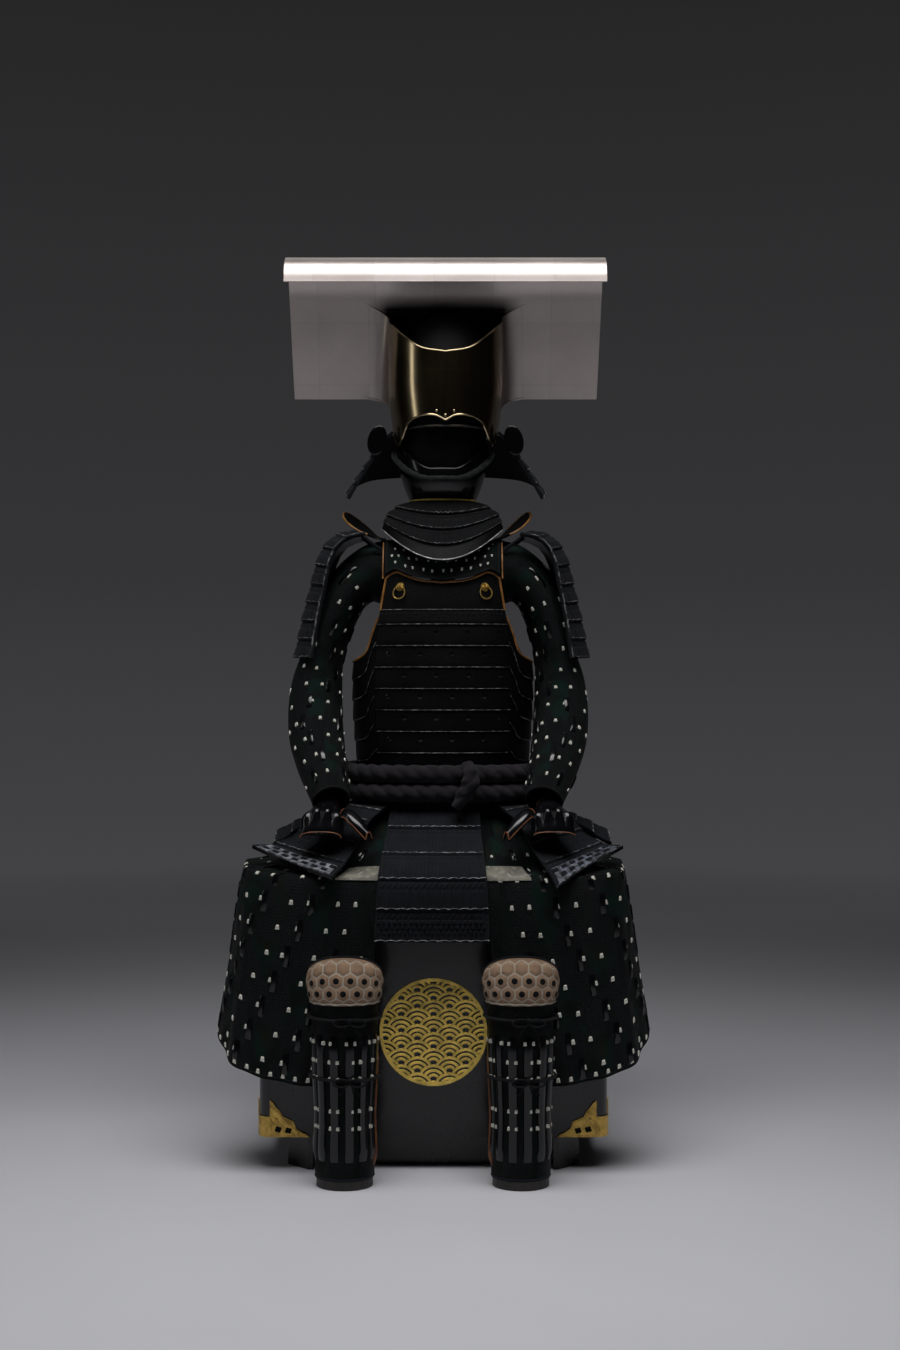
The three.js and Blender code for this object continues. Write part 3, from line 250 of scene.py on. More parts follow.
def wall(piece, cut, us, vs, inner_vs, thickness, height=0.0, loop=False, look=0, inner_look=None):
    """A closed wall on a cut: outer rows vs raised by height, and a plain inside at inner_vs."""
    us, vs, inner_vs = steps(us), steps(vs), steps(inner_vs)[::-1]
    if loop:
        us = us[:-1]
    u, v = np.meshgrid(us, vs, indexing="ij")
    by = height(u, v) if callable(height) else height
    outer = raised(cut.surface, u, v, cut.side, by)
    u, v = np.meshgrid(us, inner_vs, indexing="ij")
    inner = raised(cut.surface, u, v, cut.side, -thickness)
    ring = np.concatenate([outer, inner], axis=1)
    columns, size = ring.shape[:2]
    s = np.interp(np.append(us, 1.0) if loop else us, cut.at, cut.s)
    t = np.interp(np.concatenate([vs, inner_vs]), cut.at, cut.t)
    i, k = pairs(columns if loop else columns - 1, size)
    j, n = (i + 1) % columns, (k + 1) % size
    faces = np.stack([i * size + k, i * size + n, j * size + n, j * size + k], axis=1)
    uv = corner_places(s, t, ((i, k), (i, n), (i + 1, n), (i + 1, k)))
    points = ring.reshape(-1, 3)
    a, b, c = points[faces[:, 0]], points[faces[:, 1]], points[faces[:, 2]]
    inside_out = (a * np.cross(b, c)).sum() < 0
    if inside_out:
        faces, uv = faces[:, ::-1], uv[:, ::-1]
    rows = np.concatenate([vs, inner_vs])
    if callable(look):
        look = look((us[i] + us[np.minimum(i + 1, len(us) - 1)]) / 2, (rows[k] + rows[n]) / 2)
    looks = np.broadcast_to(look, len(faces)).copy()
    if inner_look is not None:
        looks[k >= len(vs) - 1] = inner_look
    piece.add(points, faces, looks, uv)
    if not loop:
        first = piece.count - len(points)
        caps = strip_cap(len(vs), len(inner_vs))
        for column, turned in ((0, not inside_out), (columns - 1, inside_out)):
            tri = caps + column * size
            corners = np.stack([np.full(caps.shape, s[column]), t[caps]], axis=-1)
            if turned:
                tri, corners = tri[:, ::-1], corners[:, ::-1]
            piece.faces.append(tri + first)
            piece.looks.append(np.full(len(tri), looks[0]))
            piece.corners.append(corners)


def strip_cap(outer_count, inner_count):
    """Triangles between a ring's outer run and its inner run, which comes back the other way."""
    size = outer_count + inner_count
    triangles = []
    i, j = 0, size - 1
    while i < outer_count - 1 or j > outer_count:
        outer_share = (i + 1) / (outer_count - 1)
        inner_share = (size - j) / (inner_count - 1)
        if j <= outer_count or (i < outer_count - 1 and outer_share <= inner_share):
            triangles.append([i, i + 1, j])
            i += 1
        else:
            triangles.append([i, j - 1, j])
            j -= 1
    return np.array(triangles)


def tube(piece, points, radius, sides=8, loop=False, look=0, flat=1.0):
    """A round cord along points; flat below 1 makes it a tape."""
    points = np.asarray(points, float)
    n = len(points)
    if loop:
        tangent = unit(np.roll(points, -1, axis=0) - np.roll(points, 1, axis=0))
    else:
        tangent = unit(np.gradient(points, axis=0))
    upright = abs(tangent[:, 2]).mean() > 0.8
    up = np.array([0.0, 1.0, 0.0] if upright else [0.0, 0.0, 1.0])
    across = unit(np.cross(tangent, np.broadcast_to(up, tangent.shape)))
    over = np.cross(across, tangent)
    turn = 2 * np.pi * np.arange(sides) / sides
    radius = np.broadcast_to(np.asarray(radius, float), (n,) if np.ndim(radius) < 2 else (n, sides))
    r = radius[:, None] if radius.ndim == 1 else radius
    rings = (
        points[:, None]
        + (across[:, None] * (r * np.cos(turn))[..., None])
        + (over[:, None] * (r * flat * np.sin(turn))[..., None])
    )
    lengths = np.linalg.norm(np.diff(np.vstack([points, points[:1]]), axis=0), axis=1)
    along = np.concatenate([[0], np.cumsum(lengths)])
    round_it = 2 * np.pi * np.mean(radius) * np.arange(sides + 1) / sides
    i, k = pairs(n if loop else n - 1, sides)
    j, m = (i + 1) % n, (k + 1) % sides
    faces = np.stack([i * sides + k, j * sides + k, j * sides + m, i * sides + m], axis=1)
    uv = corner_places(round_it, along, ((k, i), (k, i + 1), (k + 1, i + 1), (k + 1, i)))
    flat_points = rings.reshape(-1, 3)
    piece.add(flat_points, faces[:, ::-1], look, uv[:, ::-1])
    if not loop:
        first = piece.count - len(flat_points)
        for start, turned in ((0, False), ((n - 1) * sides, True)):
            piece.cap(first + start + np.arange(sides), turned, look)


def line_on(cut, u, v, by, piece, radius, sides=6, look=0, loop=False, flat=1.0):
    """A cord or piping that runs on a cut through the points (u, v), raised by its centre's height."""
    u, v = np.broadcast_arrays(u, v)
    tube(piece, cut.on(u, v, by), radius, sides=sides, loop=loop, look=look, flat=flat)


def plaques(piece, cut, corners, high, columns=2, rows=2, sink=0.3, rim=0.16, dome=0.0, look=0):
    """Small raised plates on a cut. corners holds four (s, t) places in millimetres for each, going round."""
    corners = np.asarray(corners, float).reshape(-1, 4, 2)
    shares = [np.concatenate([[0], np.linspace(rim, 1 - rim, count + 1), [1]]) for count in (columns, rows)]
    p, q = np.meshgrid(*shares, indexing="ij")
    weights = np.stack([(1 - p) * (1 - q), p * (1 - q), p * q, (1 - p) * q], axis=-1)
    st = np.einsum("pqc,ncx->npqx", weights, corners)
    u, v = cut.uv(st[..., 0], st[..., 1])
    edge = (p == 0) | (p == 1) | (q == 0) | (q == 1)
    crown = dome * np.sin(np.pi * p) ** 0.7
    by = np.where(edge, -sink, high + crown)
    points = cut.on(u, v, np.broadcast_to(by, u.shape))
    count, na, nb = u.shape
    i, k = pairs(na - 1, nb - 1)
    quad = np.stack([i * nb + k, (i + 1) * nb + k, (i + 1) * nb + k + 1, i * nb + k + 1], axis=1)
    faces = (np.arange(count)[:, None, None] * na * nb + quad).reshape(-1, 4)
    uv = st.reshape(count, -1, 2)[:, quad].reshape(-1, 4, 2)
    points = points.reshape(-1, 3)
    a0, b0, c0 = points[faces[:, 0]], points[faces[:, 1]], points[faces[:, 2]]
    u0, v0 = cut.uv(uv[:, 0, 0], uv[:, 0, 1])
    facing = (np.cross(b0 - a0, c0 - a0) * normals(cut.surface, u0, v0, cut.side)).sum()
    if facing < 0:
        faces, uv = faces[:, ::-1], uv[:, ::-1]
    piece.add(points, faces, look, uv)


def box_corners(s, t, width, height, taper=1.0):
    """Corners of upright plates at centres (s, t): taper below 1 makes the upper edge narrower."""
    s, t = np.broadcast_arrays(np.asarray(s, float), np.asarray(t, float))
    half, top = width / 2, width / 2 * taper
    offsets = ((-top, -height / 2), (top, -height / 2), (half, height / 2), (-half, height / 2))
    corners = [np.stack([s + across, t + along], -1) for across, along in offsets]
    return np.stack(corners, axis=-2).reshape(-1, 4, 2)


def studs(piece, at, out, radius, high, look=0, sides=12):
    """Domed rivets at points, with their outward directions."""
    rings = [(1.0, -0.25), (1.0, 0.25), (0.72, 0.72), (0.35, 0.95)]
    for point, normal in zip(np.reshape(at, (-1, 3)), np.reshape(out, (-1, 3))):
        helper = np.array([0.0, 0.0, 1.0]) if abs(normal[2]) < 0.9 else np.array([1.0, 0.0, 0.0])
        across = unit(np.cross(helper, normal))
        over = np.cross(normal, across)
        turn = 2 * np.pi * np.arange(sides) / sides
        level = across * np.cos(turn)[:, None] + over * np.sin(turn)[:, None]
        points = [point + radius * r * level + high * h * normal for r, h in rings]
        points = np.concatenate(points + [(point + high * normal)[None]])
        i = np.arange(sides)
        n = (i + 1) % sides
        top = len(points) - 1
        piece.add(points, ring_faces(len(rings), sides), look)
        tip = np.stack([3 * sides + i, 3 * sides + n, np.full(sides, top)], 1)
        piece.faces.append(tip + piece.count - len(points))
        piece.looks.append(np.full(sides, look))
        piece.corners.append(np.zeros((sides, 3, 2)))


# Materials
LEAF_SQUARE = 0.1055
MAIL_RING = 0.0042
BRAID_PITCH = 0.0016


class Look:
    """A node material: helpers for coordinates, textures, colour mixes and bumps."""

    def __init__(self, name, **sockets):
        self.material = bpy.data.materials.new(name)
        self.material.use_nodes = True
        self.nodes = self.material.node_tree.nodes
        self.links = self.material.node_tree.links
        self.shader = self.nodes["Principled BSDF"]
        for key, value in sockets.items():
            self.shader.inputs[key.replace("_", " ")].default_value = value

    def node(self, kind, settings=None, **inputs):
        made = self.nodes.new(kind)
        for key, value in (settings or {}).items():
            setattr(made, key, value)
        for key, value in inputs.items():
            self.feed(made.inputs[key.replace("_", " ")], value)
        return made

    def feed(self, socket, value):
        if isinstance(value, bpy.types.NodeSocket):
            self.links.new(value, socket)
        else:
            socket.default_value = value

    def coords(self, kind="UV", scale=(1, 1, 1), turn=0.0):
        source = self.node("ShaderNodeTexCoord").outputs[kind]
        made = self.node("ShaderNodeMapping", Vector=source, Scale=scale, Rotation=(0, 0, turn))
        return made.outputs["Vector"]

    def noise(self, at, scale, detail=3.0, rough=0.5):
        made = self.node("ShaderNodeTexNoise", Vector=at, Scale=scale, Detail=detail, Roughness=rough)
        return made.outputs["Fac"]

    def cells(self, at, scale, feature="F1", jitter=1.0):
        settings = {"feature": feature}
        made = self.node("ShaderNodeTexVoronoi", settings, Vector=at, Scale=scale, Randomness=jitter)
        return made.outputs["Distance"]

    def waves(self, at, scale, direction="X", twist=0.0, detail=0.0):
        settings = {"bands_direction": direction}
        values = {"Vector": at, "Scale": scale, "Distortion": twist, "Detail": detail}
        made = self.node("ShaderNodeTexWave", settings, **values)
        return made.outputs["Fac"]

    def ramp(self, value, low, high, start=0.0, end=1.0):
        made = self.node("ShaderNodeMapRange", Value=value)
        for key, number in (("From Min", low), ("From Max", high), ("To Min", start), ("To Max", end)):
            made.inputs[key].default_value = number
        return made.outputs["Result"]

    def maths(self, kind, a, b=0.0):
        made = self.node("ShaderNodeMath", {"operation": kind})
        self.feed(made.inputs[0], a)
        self.feed(made.inputs[1], b)
        return made.outputs[0]

    def mix(self, factor, a, b, blend="MIX"):
        made = self.node("ShaderNodeMix", {"data_type": "RGBA", "blend_type": blend})
        self.feed(made.inputs["Factor"], factor)
        self.feed(made.inputs[6], (*a, 1) if isinstance(a, tuple) and len(a) == 3 else a)
        self.feed(made.inputs[7], (*b, 1) if isinstance(b, tuple) and len(b) == 3 else b)
        return made.outputs[2]

    def colour(self, value):
        self.feed(self.shader.inputs["Base Color"], value)

    def rough(self, value):
        self.feed(self.shader.inputs["Roughness"], value)

    def bump(self, height, distance, strength=1.0, under=None):
        made = self.node("ShaderNodeBump", Height=height, Distance=distance, Strength=strength)
        if under is not None:
            self.links.new(under, made.inputs["Normal"])
        self.links.new(made.outputs["Normal"], self.shader.inputs["Normal"])
        return made.outputs["Normal"]


def lacquer(name, colour=(0.0022, 0.0023, 0.003), gloss=0.16, ripple=0.00012, coat=0.15, grain=0.0, dust=0.05,
            shine=0.35):
    """Black lacquer: faint ripples, cloudy gloss and a little dust."""
    look = Look(name, Coat_Weight=coat, Coat_Roughness=0.08, Specular_IOR_Level=shine)
    at = look.coords("Object")
    cloud = look.noise(at, 14, 4)
    look.colour(look.mix(look.ramp(cloud, 0.35, 0.75, 0, 1), colour, tuple(c * 1.7 + 0.0006 for c in colour)))
    fine = look.noise(at, 260, 2)
    dull = look.ramp(cloud, 0.3, 0.7, gloss, gloss + dust)
    look.rough(look.maths("ADD", dull, look.ramp(fine, 0.3, 0.7, 0, dust)))
    under = look.bump(look.noise(at, 28, 1), ripple)
    if grain:
        pores = look.cells(at, 620, "SMOOTH_F1")
        look.bump(look.maths("ADD", pores, look.noise(at, 900, 2)), grain, 0.8, under)
    return look.material


def gilt(name, colour=(0.72, 0.47, 0.12), rough=0.33, engraved=0.0, metal=0.9):
    """Gilt copper with tarnish in its hollows."""
    look = Look(name, Metallic=metal)
    at = look.coords("Object")
    stain = look.noise(at, 60, 5, 0.6)
    look.colour(look.mix(look.ramp(stain, 0.4, 0.7), colour, tuple(c * 0.55 for c in colour)))
    look.rough(look.ramp(stain, 0.3, 0.75, rough, rough + 0.2))
    height = look.noise(at, 700, 2)
    if engraved:
        stroke = look.waves(at, 55, "DIAGONAL", 9.0, 2.0)
        height = look.maths("ADD", look.ramp(stroke, 0.15, 0.45), look.maths("MULTIPLY", height, 0.2))
    look.bump(height, max(engraved, 0.00005), 0.7)
    return look.material


def silver_leaf(name, browned):
    """Silver leaf laid in squares, each a little different from the next; where not browned, painted shade
    makes the plate near-black, dull and unmetallic in and just above the arch.

    Where browned, the leaf turns to burnished bronze towards the middle of the bulge.
    """
    look = Look(name, Metallic=0.9)
    world = look.coords("Object")
    axes = look.node("ShaderNodeSeparateXYZ", Vector=world).outputs
    at = look.coords("Object", (1 / LEAF_SQUARE,) * 3)
    parts = look.node("ShaderNodeSeparateXYZ", Vector=at).outputs
    rise = look.maths("ADD", parts["Z"], 0.12)
    flat = look.node("ShaderNodeCombineXYZ", X=parts["X"], Y=rise, Z=0.0).outputs[0]
    brick = look.node(
        "ShaderNodeTexBrick", {"offset": 0.0, "squash": 1.0}, Vector=flat, Scale=1.0,
        Color1=(0.0, 0.0, 0.0, 1), Color2=(1.0, 1.0, 1.0, 1), Mortar=(0.5, 0.5, 0.5, 1),
    )
    sizes = {"Mortar Size": 0.009, "Mortar Smooth": 0.9, "Brick Width": 1.0, "Row Height": 1.0}
    for key, value in sizes.items():
        brick.inputs[key].default_value = value
    cloud = look.noise(world, 9, 5, 0.6)
    fine = look.noise(world, 320, 3)
    tone = look.mix(look.ramp(cloud, 0.3, 0.7), (0.52, 0.455, 0.43), (0.62, 0.55, 0.525))
    tone = look.mix(0.10, tone, brick.outputs["Color"], "SOFT_LIGHT")
    tone = look.mix(look.maths("MULTIPLY", brick.outputs["Fac"], 0.35), tone, (0.36, 0.32, 0.29))
    tone = look.mix(look.ramp(fine, 0.45, 0.8, 0, 0.25), tone, (0.42, 0.37, 0.33))
    off = look.maths("ABSOLUTE", look.maths("SUBTRACT", axes["X"], HELMET_SHIFT / 1000))
    rough = look.ramp(cloud, 0.3, 0.7, 0.36, 0.46)
    if browned:
        middle = look.ramp(off, 0.088, 0.118, 1.0, 0.0)
        streak = look.noise(look.coords("Object", (90, 90, 3)), 1.5, 3)
        bronze = look.mix(look.ramp(streak, 0.4, 0.75, 0, 0.5), (0.44, 0.35, 0.21), (0.17, 0.13, 0.08))
        tone = look.mix(middle, tone, bronze)
        rough = look.mix(middle, rough, look.ramp(cloud, 0.3, 0.7, 0.16, 0.22))
        metal = look.maths("ADD", 0.9, look.maths("MULTIPLY", middle, 0.1))
        look.feed(look.shader.inputs["Metallic"], metal)
    else:
        # Painted shade: the plate goes near-black, dull and unmetallic in and just above the arch, with soft
        # edges.
        across = look.ramp(off, 0.105, 0.142, 1.0, 0.0)
        below = look.ramp(axes["Z"], 1.488, 1.512, 1.0, 0.0)
        painted_shade = look.maths("MULTIPLY", across, below)
        tone = look.mix(painted_shade, tone, (0.004, 0.004, 0.0045))
        metal = look.maths("SUBTRACT", 0.9, look.maths("MULTIPLY", painted_shade, 0.9))
        look.feed(look.shader.inputs["Metallic"], metal)
        look.feed(look.shader.inputs["Specular IOR Level"], look.ramp(painted_shade, 0, 1, 0.5, 0.1))
    look.colour(tone)
    look.rough(rough)
    joints = look.maths("MULTIPLY", brick.outputs["Fac"], -0.5)
    look.bump(look.maths("ADD", joints, look.maths("MULTIPLY", fine, 0.12)), 0.00025, 0.6)
    return look.material


def braid(name, colour=(0.0036, 0.0041, 0.006), light=(0.014, 0.0155, 0.021)):
    """Plaited silk lacing: a fine herringbone, dull, with a cool sheen on top and its crowns painted lighter
    as a painted highlight.
    """
    look = Look(name, Roughness=0.85, Sheen_Weight=0.05, Sheen_Roughness=0.45, Specular_IOR_Level=0.14)
    at = look.coords("UV")
    first = look.waves(look.coords("UV", turn=0.75), 0.5 / BRAID_PITCH, "X")
    second = look.waves(look.coords("UV", turn=-0.75), 0.5 / BRAID_PITCH, "X")
    plait = look.maths("MAXIMUM", first, second)
    # The crowns of the plait take the lighter colour: a painted highlight.
    tone = look.mix(look.ramp(plait, 0.55, 1.0), colour, light)
    look.colour(look.mix(look.ramp(look.noise(at, 45, 3), 0.35, 0.75, 0, 0.55), tone, (0.002, 0.0022, 0.003)))
    look.bump(plait, 0.00035, 0.9)
    return look.material


def rubbed(name, colour=(0.42, 0.42, 0.43), dark=(0.05, 0.05, 0.055), metal=0.3, rough=0.42):
    """Edges where dark lacquer is rubbed through to a pale line."""
    look = Look(name, Metallic=metal)
    at = look.coords("Object")
    patch = look.noise(at, 95, 4, 0.65)
    look.colour(look.mix(look.ramp(patch, 0.46, 0.64), dark, colour))
    look.rough(look.ramp(patch, 0.3, 0.7, rough, rough + 0.25))
    look.bump(look.noise(at, 500, 2), 0.0001)
    return look.material


def brocade(name, ground, second, third, motif=0.030, mail=0.0):
    """Brocade: a diagonal twill with soft patches of two colours, and of mail with rings of that size."""
    look = Look(name, Roughness=0.72, Sheen_Weight=0.015, Sheen_Roughness=0.4, Specular_IOR_Level=0.12)
    at = look.coords("UV")
    patch = look.cells(look.coords("UV", (1, 0.45, 1)), 1 / motif, "SMOOTH_F1")
    cloud = look.noise(at, 22, 4)
    tone = look.mix(look.ramp(cloud, 0.42, 0.58), ground, second)
    tone = look.mix(look.ramp(patch, 0.18, 0.34, 1, 0), tone, third)
    twill = look.waves(look.coords("UV", turn=0.62), 700, "X")
    cross = look.waves(at, 560, "Y")
    weave = look.maths("MULTIPLY", look.maths("ADD", twill, cross), 0.5)
    tone = look.mix(look.ramp(weave, 0.35, 0.8, 0, 0.4), tone, tuple(c * 0.25 for c in ground))
    if mail:
        rings = look.cells(look.coords("UV", (1, 0.8, 1)), 1 / mail, "F1", jitter=0.35)
        wire = look.ramp(look.maths("ABSOLUTE", look.maths("SUBTRACT", rings, 0.36)), 0.02, 0.2, 1, 0)
        patch = look.ramp(look.noise(look.coords("UV", (1, 0.4, 1)), 30, 2), 0.43, 0.5)
        steel = look.mix(wire, (0.0005, 0.0006, 0.0007), (0.012, 0.0135, 0.015))
        tone = look.mix(patch, tone, steel)
        look.feed(look.shader.inputs["Metallic"], look.maths("MULTIPLY", patch, wire))
        look.rough(look.ramp(patch, 0, 1, 0.72, 0.46))
        weave = look.maths("ADD", weave, look.maths("MULTIPLY", look.maths("MULTIPLY", patch, wire), 2.5))
    look.colour(tone)
    look.bump(weave, 0.0003, 0.8)
    return look.material


def woven(name, colour, shade, thread=0.0011, sheen=0.03, rough=0.8, crepe=0.0):
    """Plain woven or twisted cloth."""
    look = Look(name, Roughness=rough, Sheen_Weight=sheen, Sheen_Roughness=0.5, Specular_IOR_Level=0.15)
    at = look.coords("UV")
    warp = look.waves(at, 0.5 / thread, "X")
    weft = look.waves(at, 0.5 / thread, "Y")
    weave = look.maths("MAXIMUM", warp, weft)
    if crepe:
        weave = look.maths("ADD", weave, look.maths("MULTIPLY", look.noise(at, crepe, 4, 0.7), 1.6))
    tone = look.mix(look.ramp(look.noise(at, 60, 4), 0.35, 0.7), shade, colour)
    # The gaps between the threads are painted darker: painted shade.
    look.colour(look.mix(look.ramp(weave, 0.2, 0.9, 0.35, 0.0), tone, tuple(c * 0.4 for c in colour)))
    look.bump(weave, 0.0003, 0.7)
    return look.material


def bone():
    """The pale hemp lacing ends."""
    look = Look("bone_white", Roughness=0.7, Specular_IOR_Level=0.3)
    at = look.coords("UV")
    cloud = look.ramp(look.noise(at, 300, 3), 0.35, 0.75)
    look.colour(look.mix(cloud, (0.55, 0.53, 0.46), (0.82, 0.80, 0.72)))
    look.bump(look.waves(at, 500, "X"), 0.0002, 0.7)
    return look.material


def leather(name, colour, dark):
    """Grained leather, darker in patches."""
    look = Look(name, Roughness=0.5, Specular_IOR_Level=0.4)
    at = look.coords("Object")
    look.colour(look.mix(look.ramp(look.noise(at, 80, 4), 0.35, 0.7), dark, colour))
    look.bump(look.cells(at, 700, "SMOOTH_F1"), 0.0002, 0.7)
    return look.material


def wood():
    """Dark stained wood with an upright grain."""
    look = Look("stand_wood", Roughness=0.5)
    at = look.coords("Object", (60, 60, 4))
    grain = look.noise(at, 1.2, 4)
    look.colour(look.mix(look.ramp(grain, 0.35, 0.7), (0.012, 0.0095, 0.008), (0.03, 0.022, 0.016)))
    look.bump(grain, 0.0002, 0.5)
    return look.material


LACQUER = lacquer("chest_lacquer", (0.0028, 0.003, 0.0038), gloss=0.2, ripple=0.00006, shine=0.38)
PLATE_LACQUER = lacquer("plate_lacquer", gloss=0.13)
LEATHER_LACQUER = lacquer(
    "leather_lacquer", (0.0012, 0.0013, 0.0016), gloss=0.36, ripple=0.0001, coat=0.0, grain=0.00055, dust=0.1,
    shine=0.12,
)
BOWL_LACQUER = lacquer("bowl_lacquer", (0.0015, 0.0015, 0.0018), gloss=0.6, coat=0.0, shine=0.08)
GILT = gilt("gilt_mounts", engraved=0.0007)
GOLD = gilt("gold_leaf", (1.0, 0.73, 0.17), rough=0.5, metal=0.55)
DARK_METAL = gilt("dark_metal", (0.10, 0.09, 0.08), rough=0.4)
SILVER = silver_leaf("silver_leaf", browned=False)
BRONZED = silver_leaf("bronzed_leaf", browned=True)
# Near-black: the pierced clouds of the corner mounts, and painted shade on the inside of the crest's bulge.
BLACK = woven("hollow_black", (0.004, 0.004, 0.0045), (0.003, 0.003, 0.003), thread=0.002, sheen=0.0)
LACING = braid("lacing")
# A darker copy of the lacing for the throat guard under the chin: painted shade.
THROAT_LACING = braid("throat_lacing", (0.0014, 0.0015, 0.002), (0.005, 0.0055, 0.007))
# The lap strip's darker, duller copy, painted shade, for the left lap.
SHADED_LAP_STRIP = rubbed("lap_strip_painted_shade", (0.16, 0.18, 0.23), (0.02, 0.022, 0.03), metal=0.2, rough=0.5)
EDGE = rubbed("rubbed_edge", (0.3, 0.3, 0.31), (0.012, 0.012, 0.014))
BRIGHT_EDGE = rubbed("bright_edge", (0.66, 0.66, 0.66), (0.25, 0.25, 0.26), metal=0.4, rough=0.3)
# The lap strip's paler, shinier copy, painted light, for the right lap.
LIT_LAP_STRIP = rubbed("lap_strip_painted_light", (0.36, 0.38, 0.42), (0.15, 0.16, 0.19), metal=0.6, rough=0.35)
GREEN = brocade(
    "green_brocade", (0.0008, 0.0115, 0.0082), (0.001, 0.002, 0.0019), (0.006, 0.0068, 0.0024),
    mail=MAIL_RING,
)
# A darker copy of the green brocade for the collar and the shins: painted shade.
SHADED_GREEN = brocade(
    "green_brocade_painted_shade", (0.0008, 0.009, 0.0066), (0.001, 0.0016, 0.0016), (0.0045, 0.0055, 0.002),
    mail=MAIL_RING,
)
PALE = brocade("pale_brocade", (0.30, 0.29, 0.24), (0.17, 0.165, 0.14), (0.40, 0.37, 0.30), motif=0.007)
BONE = bone()
KNEE_CLOTH = woven("knee_cloth", (0.38, 0.25, 0.16), (0.29, 0.19, 0.125), thread=0.0009, rough=0.85)
CREAM = woven("cream_cord", (0.56, 0.50, 0.42), (0.42, 0.37, 0.3), thread=0.0006)
TIE = woven("tie_cloth", (0.005, 0.0052, 0.007), (0.003, 0.0032, 0.0045), thread=0.001, sheen=0.05)
NAVY = woven("navy_binding", (0.008, 0.011, 0.02), (0.005, 0.007, 0.012), thread=0.001, sheen=0.05)
ROPE = woven(
    "rope_cloth", (0.026, 0.022, 0.027), (0.012, 0.0105, 0.013), thread=0.0012, sheen=0.05, rough=0.9,
    crepe=260,
)
CHIN_CLOTH = woven(
    "chin_cord_cloth", (0.022, 0.026, 0.024), (0.008, 0.01, 0.009), thread=0.001, sheen=0.05, rough=0.9,
    crepe=180,
)
ORANGE = leather("gold_leather", (0.36, 0.16, 0.03), (0.17, 0.07, 0.014))
TAN = leather("tan_leather", (0.22, 0.075, 0.022), (0.10, 0.036, 0.012))
WOOD = wood()


# Surfaces, the same as the solids'. Each takes u across the piece and v down or along it, from 0 to 1.
# The torso's plan: height, half width, half depth
torso_plan = reader([
    (560, 160, 118), (602, 157, 117), (645, 150, 113), (700, 156, 116), (780, 161, 120), (860, 160, 122),
    (940, 150, 119), (1010, 134, 108),
])
# The chest plate's upper edge: distance from the middle, height
chest_plate_top = reader([
    (0, 989), (40, 993), (66, 1001), (84, 1008), (100, 1000), (110, 984), (120, 958), (130, 946),
])
# The side plates' upper edge: degrees from the front, height
side_plate_top = reader([(44, 932), (49, 905), (54, 872), (66, 858), (90, 852), (116, 862), (136, 930)])
# The way over a shoulder: place along it, share of the depth, share of the height
shoulder_path = reader([
    (0, -1, 0), (0.2, -0.84, 0.55), (0.38, -0.45, 0.93), (0.5, 0, 1), (0.62, 0.45, 0.93), (0.8, 0.84, 0.52),
    (1, 1, 0),
])
TORSO = {"bottom": 602, "front_top": 940, "first_edge": 914.7, "back_top": 1000, "armhole": 852}
STRAP = {"inner": 58, "outer": 106, "top": 1066, "thick": 4}
YOKE = 100


def torso(degrees, z, off=0.0):
    rx, ry = torso_plan(z)
    s, c = np.sin(np.radians(degrees)), np.cos(np.radians(degrees))
    squared = np.sign(s) * np.abs(s) ** SQUARE, np.sign(c) * np.abs(c) ** SQUARE
    return vec((rx + off) * squared[0], -(ry + off) * squared[1], z)


def torso_depth(x, z):
    rx, ry = torso_plan(z)
    return ry * (1 - np.minimum(1, np.abs(x) / rx) ** (2 / SQUARE)) ** (SQUARE / 2)


def chest_plate(u, v):
    turn = mix(-FRONT_EDGE, FRONT_EDGE, u)
    x = np.abs(torso(turn, 980.0)[..., 0])
    return torso(turn, mix(chest_plate_top(x)[0], TORSO["front_top"] + GAP, v))


def shoulder_line(x, v, over):
    def at(place_v):
        reach, lift = shoulder_path(place_v)
        edge = np.where(v < 0.5, chest_plate_top(np.abs(x))[0], TORSO["back_top"])
        return vec(x, reach * (torso_depth(x, edge) + GAP), mix(edge + 4 * GAP, STRAP["top"], lift))

    along = at(np.minimum(v + 0.01, 1)) - at(np.maximum(v - 0.01, 0))
    return at(v) + over * unit(vec(0.0, -along[..., 2], along[..., 1]))


def strap(side):
    return lambda u, v: shoulder_line(side * mix(STRAP["inner"], STRAP["outer"], u), v, STRAP["thick"])


def collar(u, v):
    return shoulder_line(mix(-YOKE, YOKE, u), 0.33 * v, STRAP["thick"] + 4 * GAP + CLOTH)


WING = {"rise": 44, "half": 46, "over": PLATE + 0.6, "tilt": 0.5, LEFT: (92, 66), RIGHT: (103, 76)}


def wing(side):
    def surface(u, v):
        along = 2 * u - 1
        out = v * (1 - 0.88 * np.abs(along) ** 2.4) ** 0.5
        y = WING["half"] * along * (1 - 0.12 * v)
        curl = 1.35 * out * out / (out + 0.35)
        foot = STRAP["top"] + STRAP["thick"] + WING["over"] - 4 * along * along * (1 - v)
        base, reach = WING[side]
        return vec(side * (base + reach * out), y, foot + WING["rise"] * curl + WING["tilt"] * y * out)

    return surface


LAP = {
    "waist": 575, "front": 481.2, "side": 518, "reach": 1.32, "side_reach": 1.05, "back_reach": 0.7,
    "soft": 0.84, "valley": 60, "thigh": 115,
}


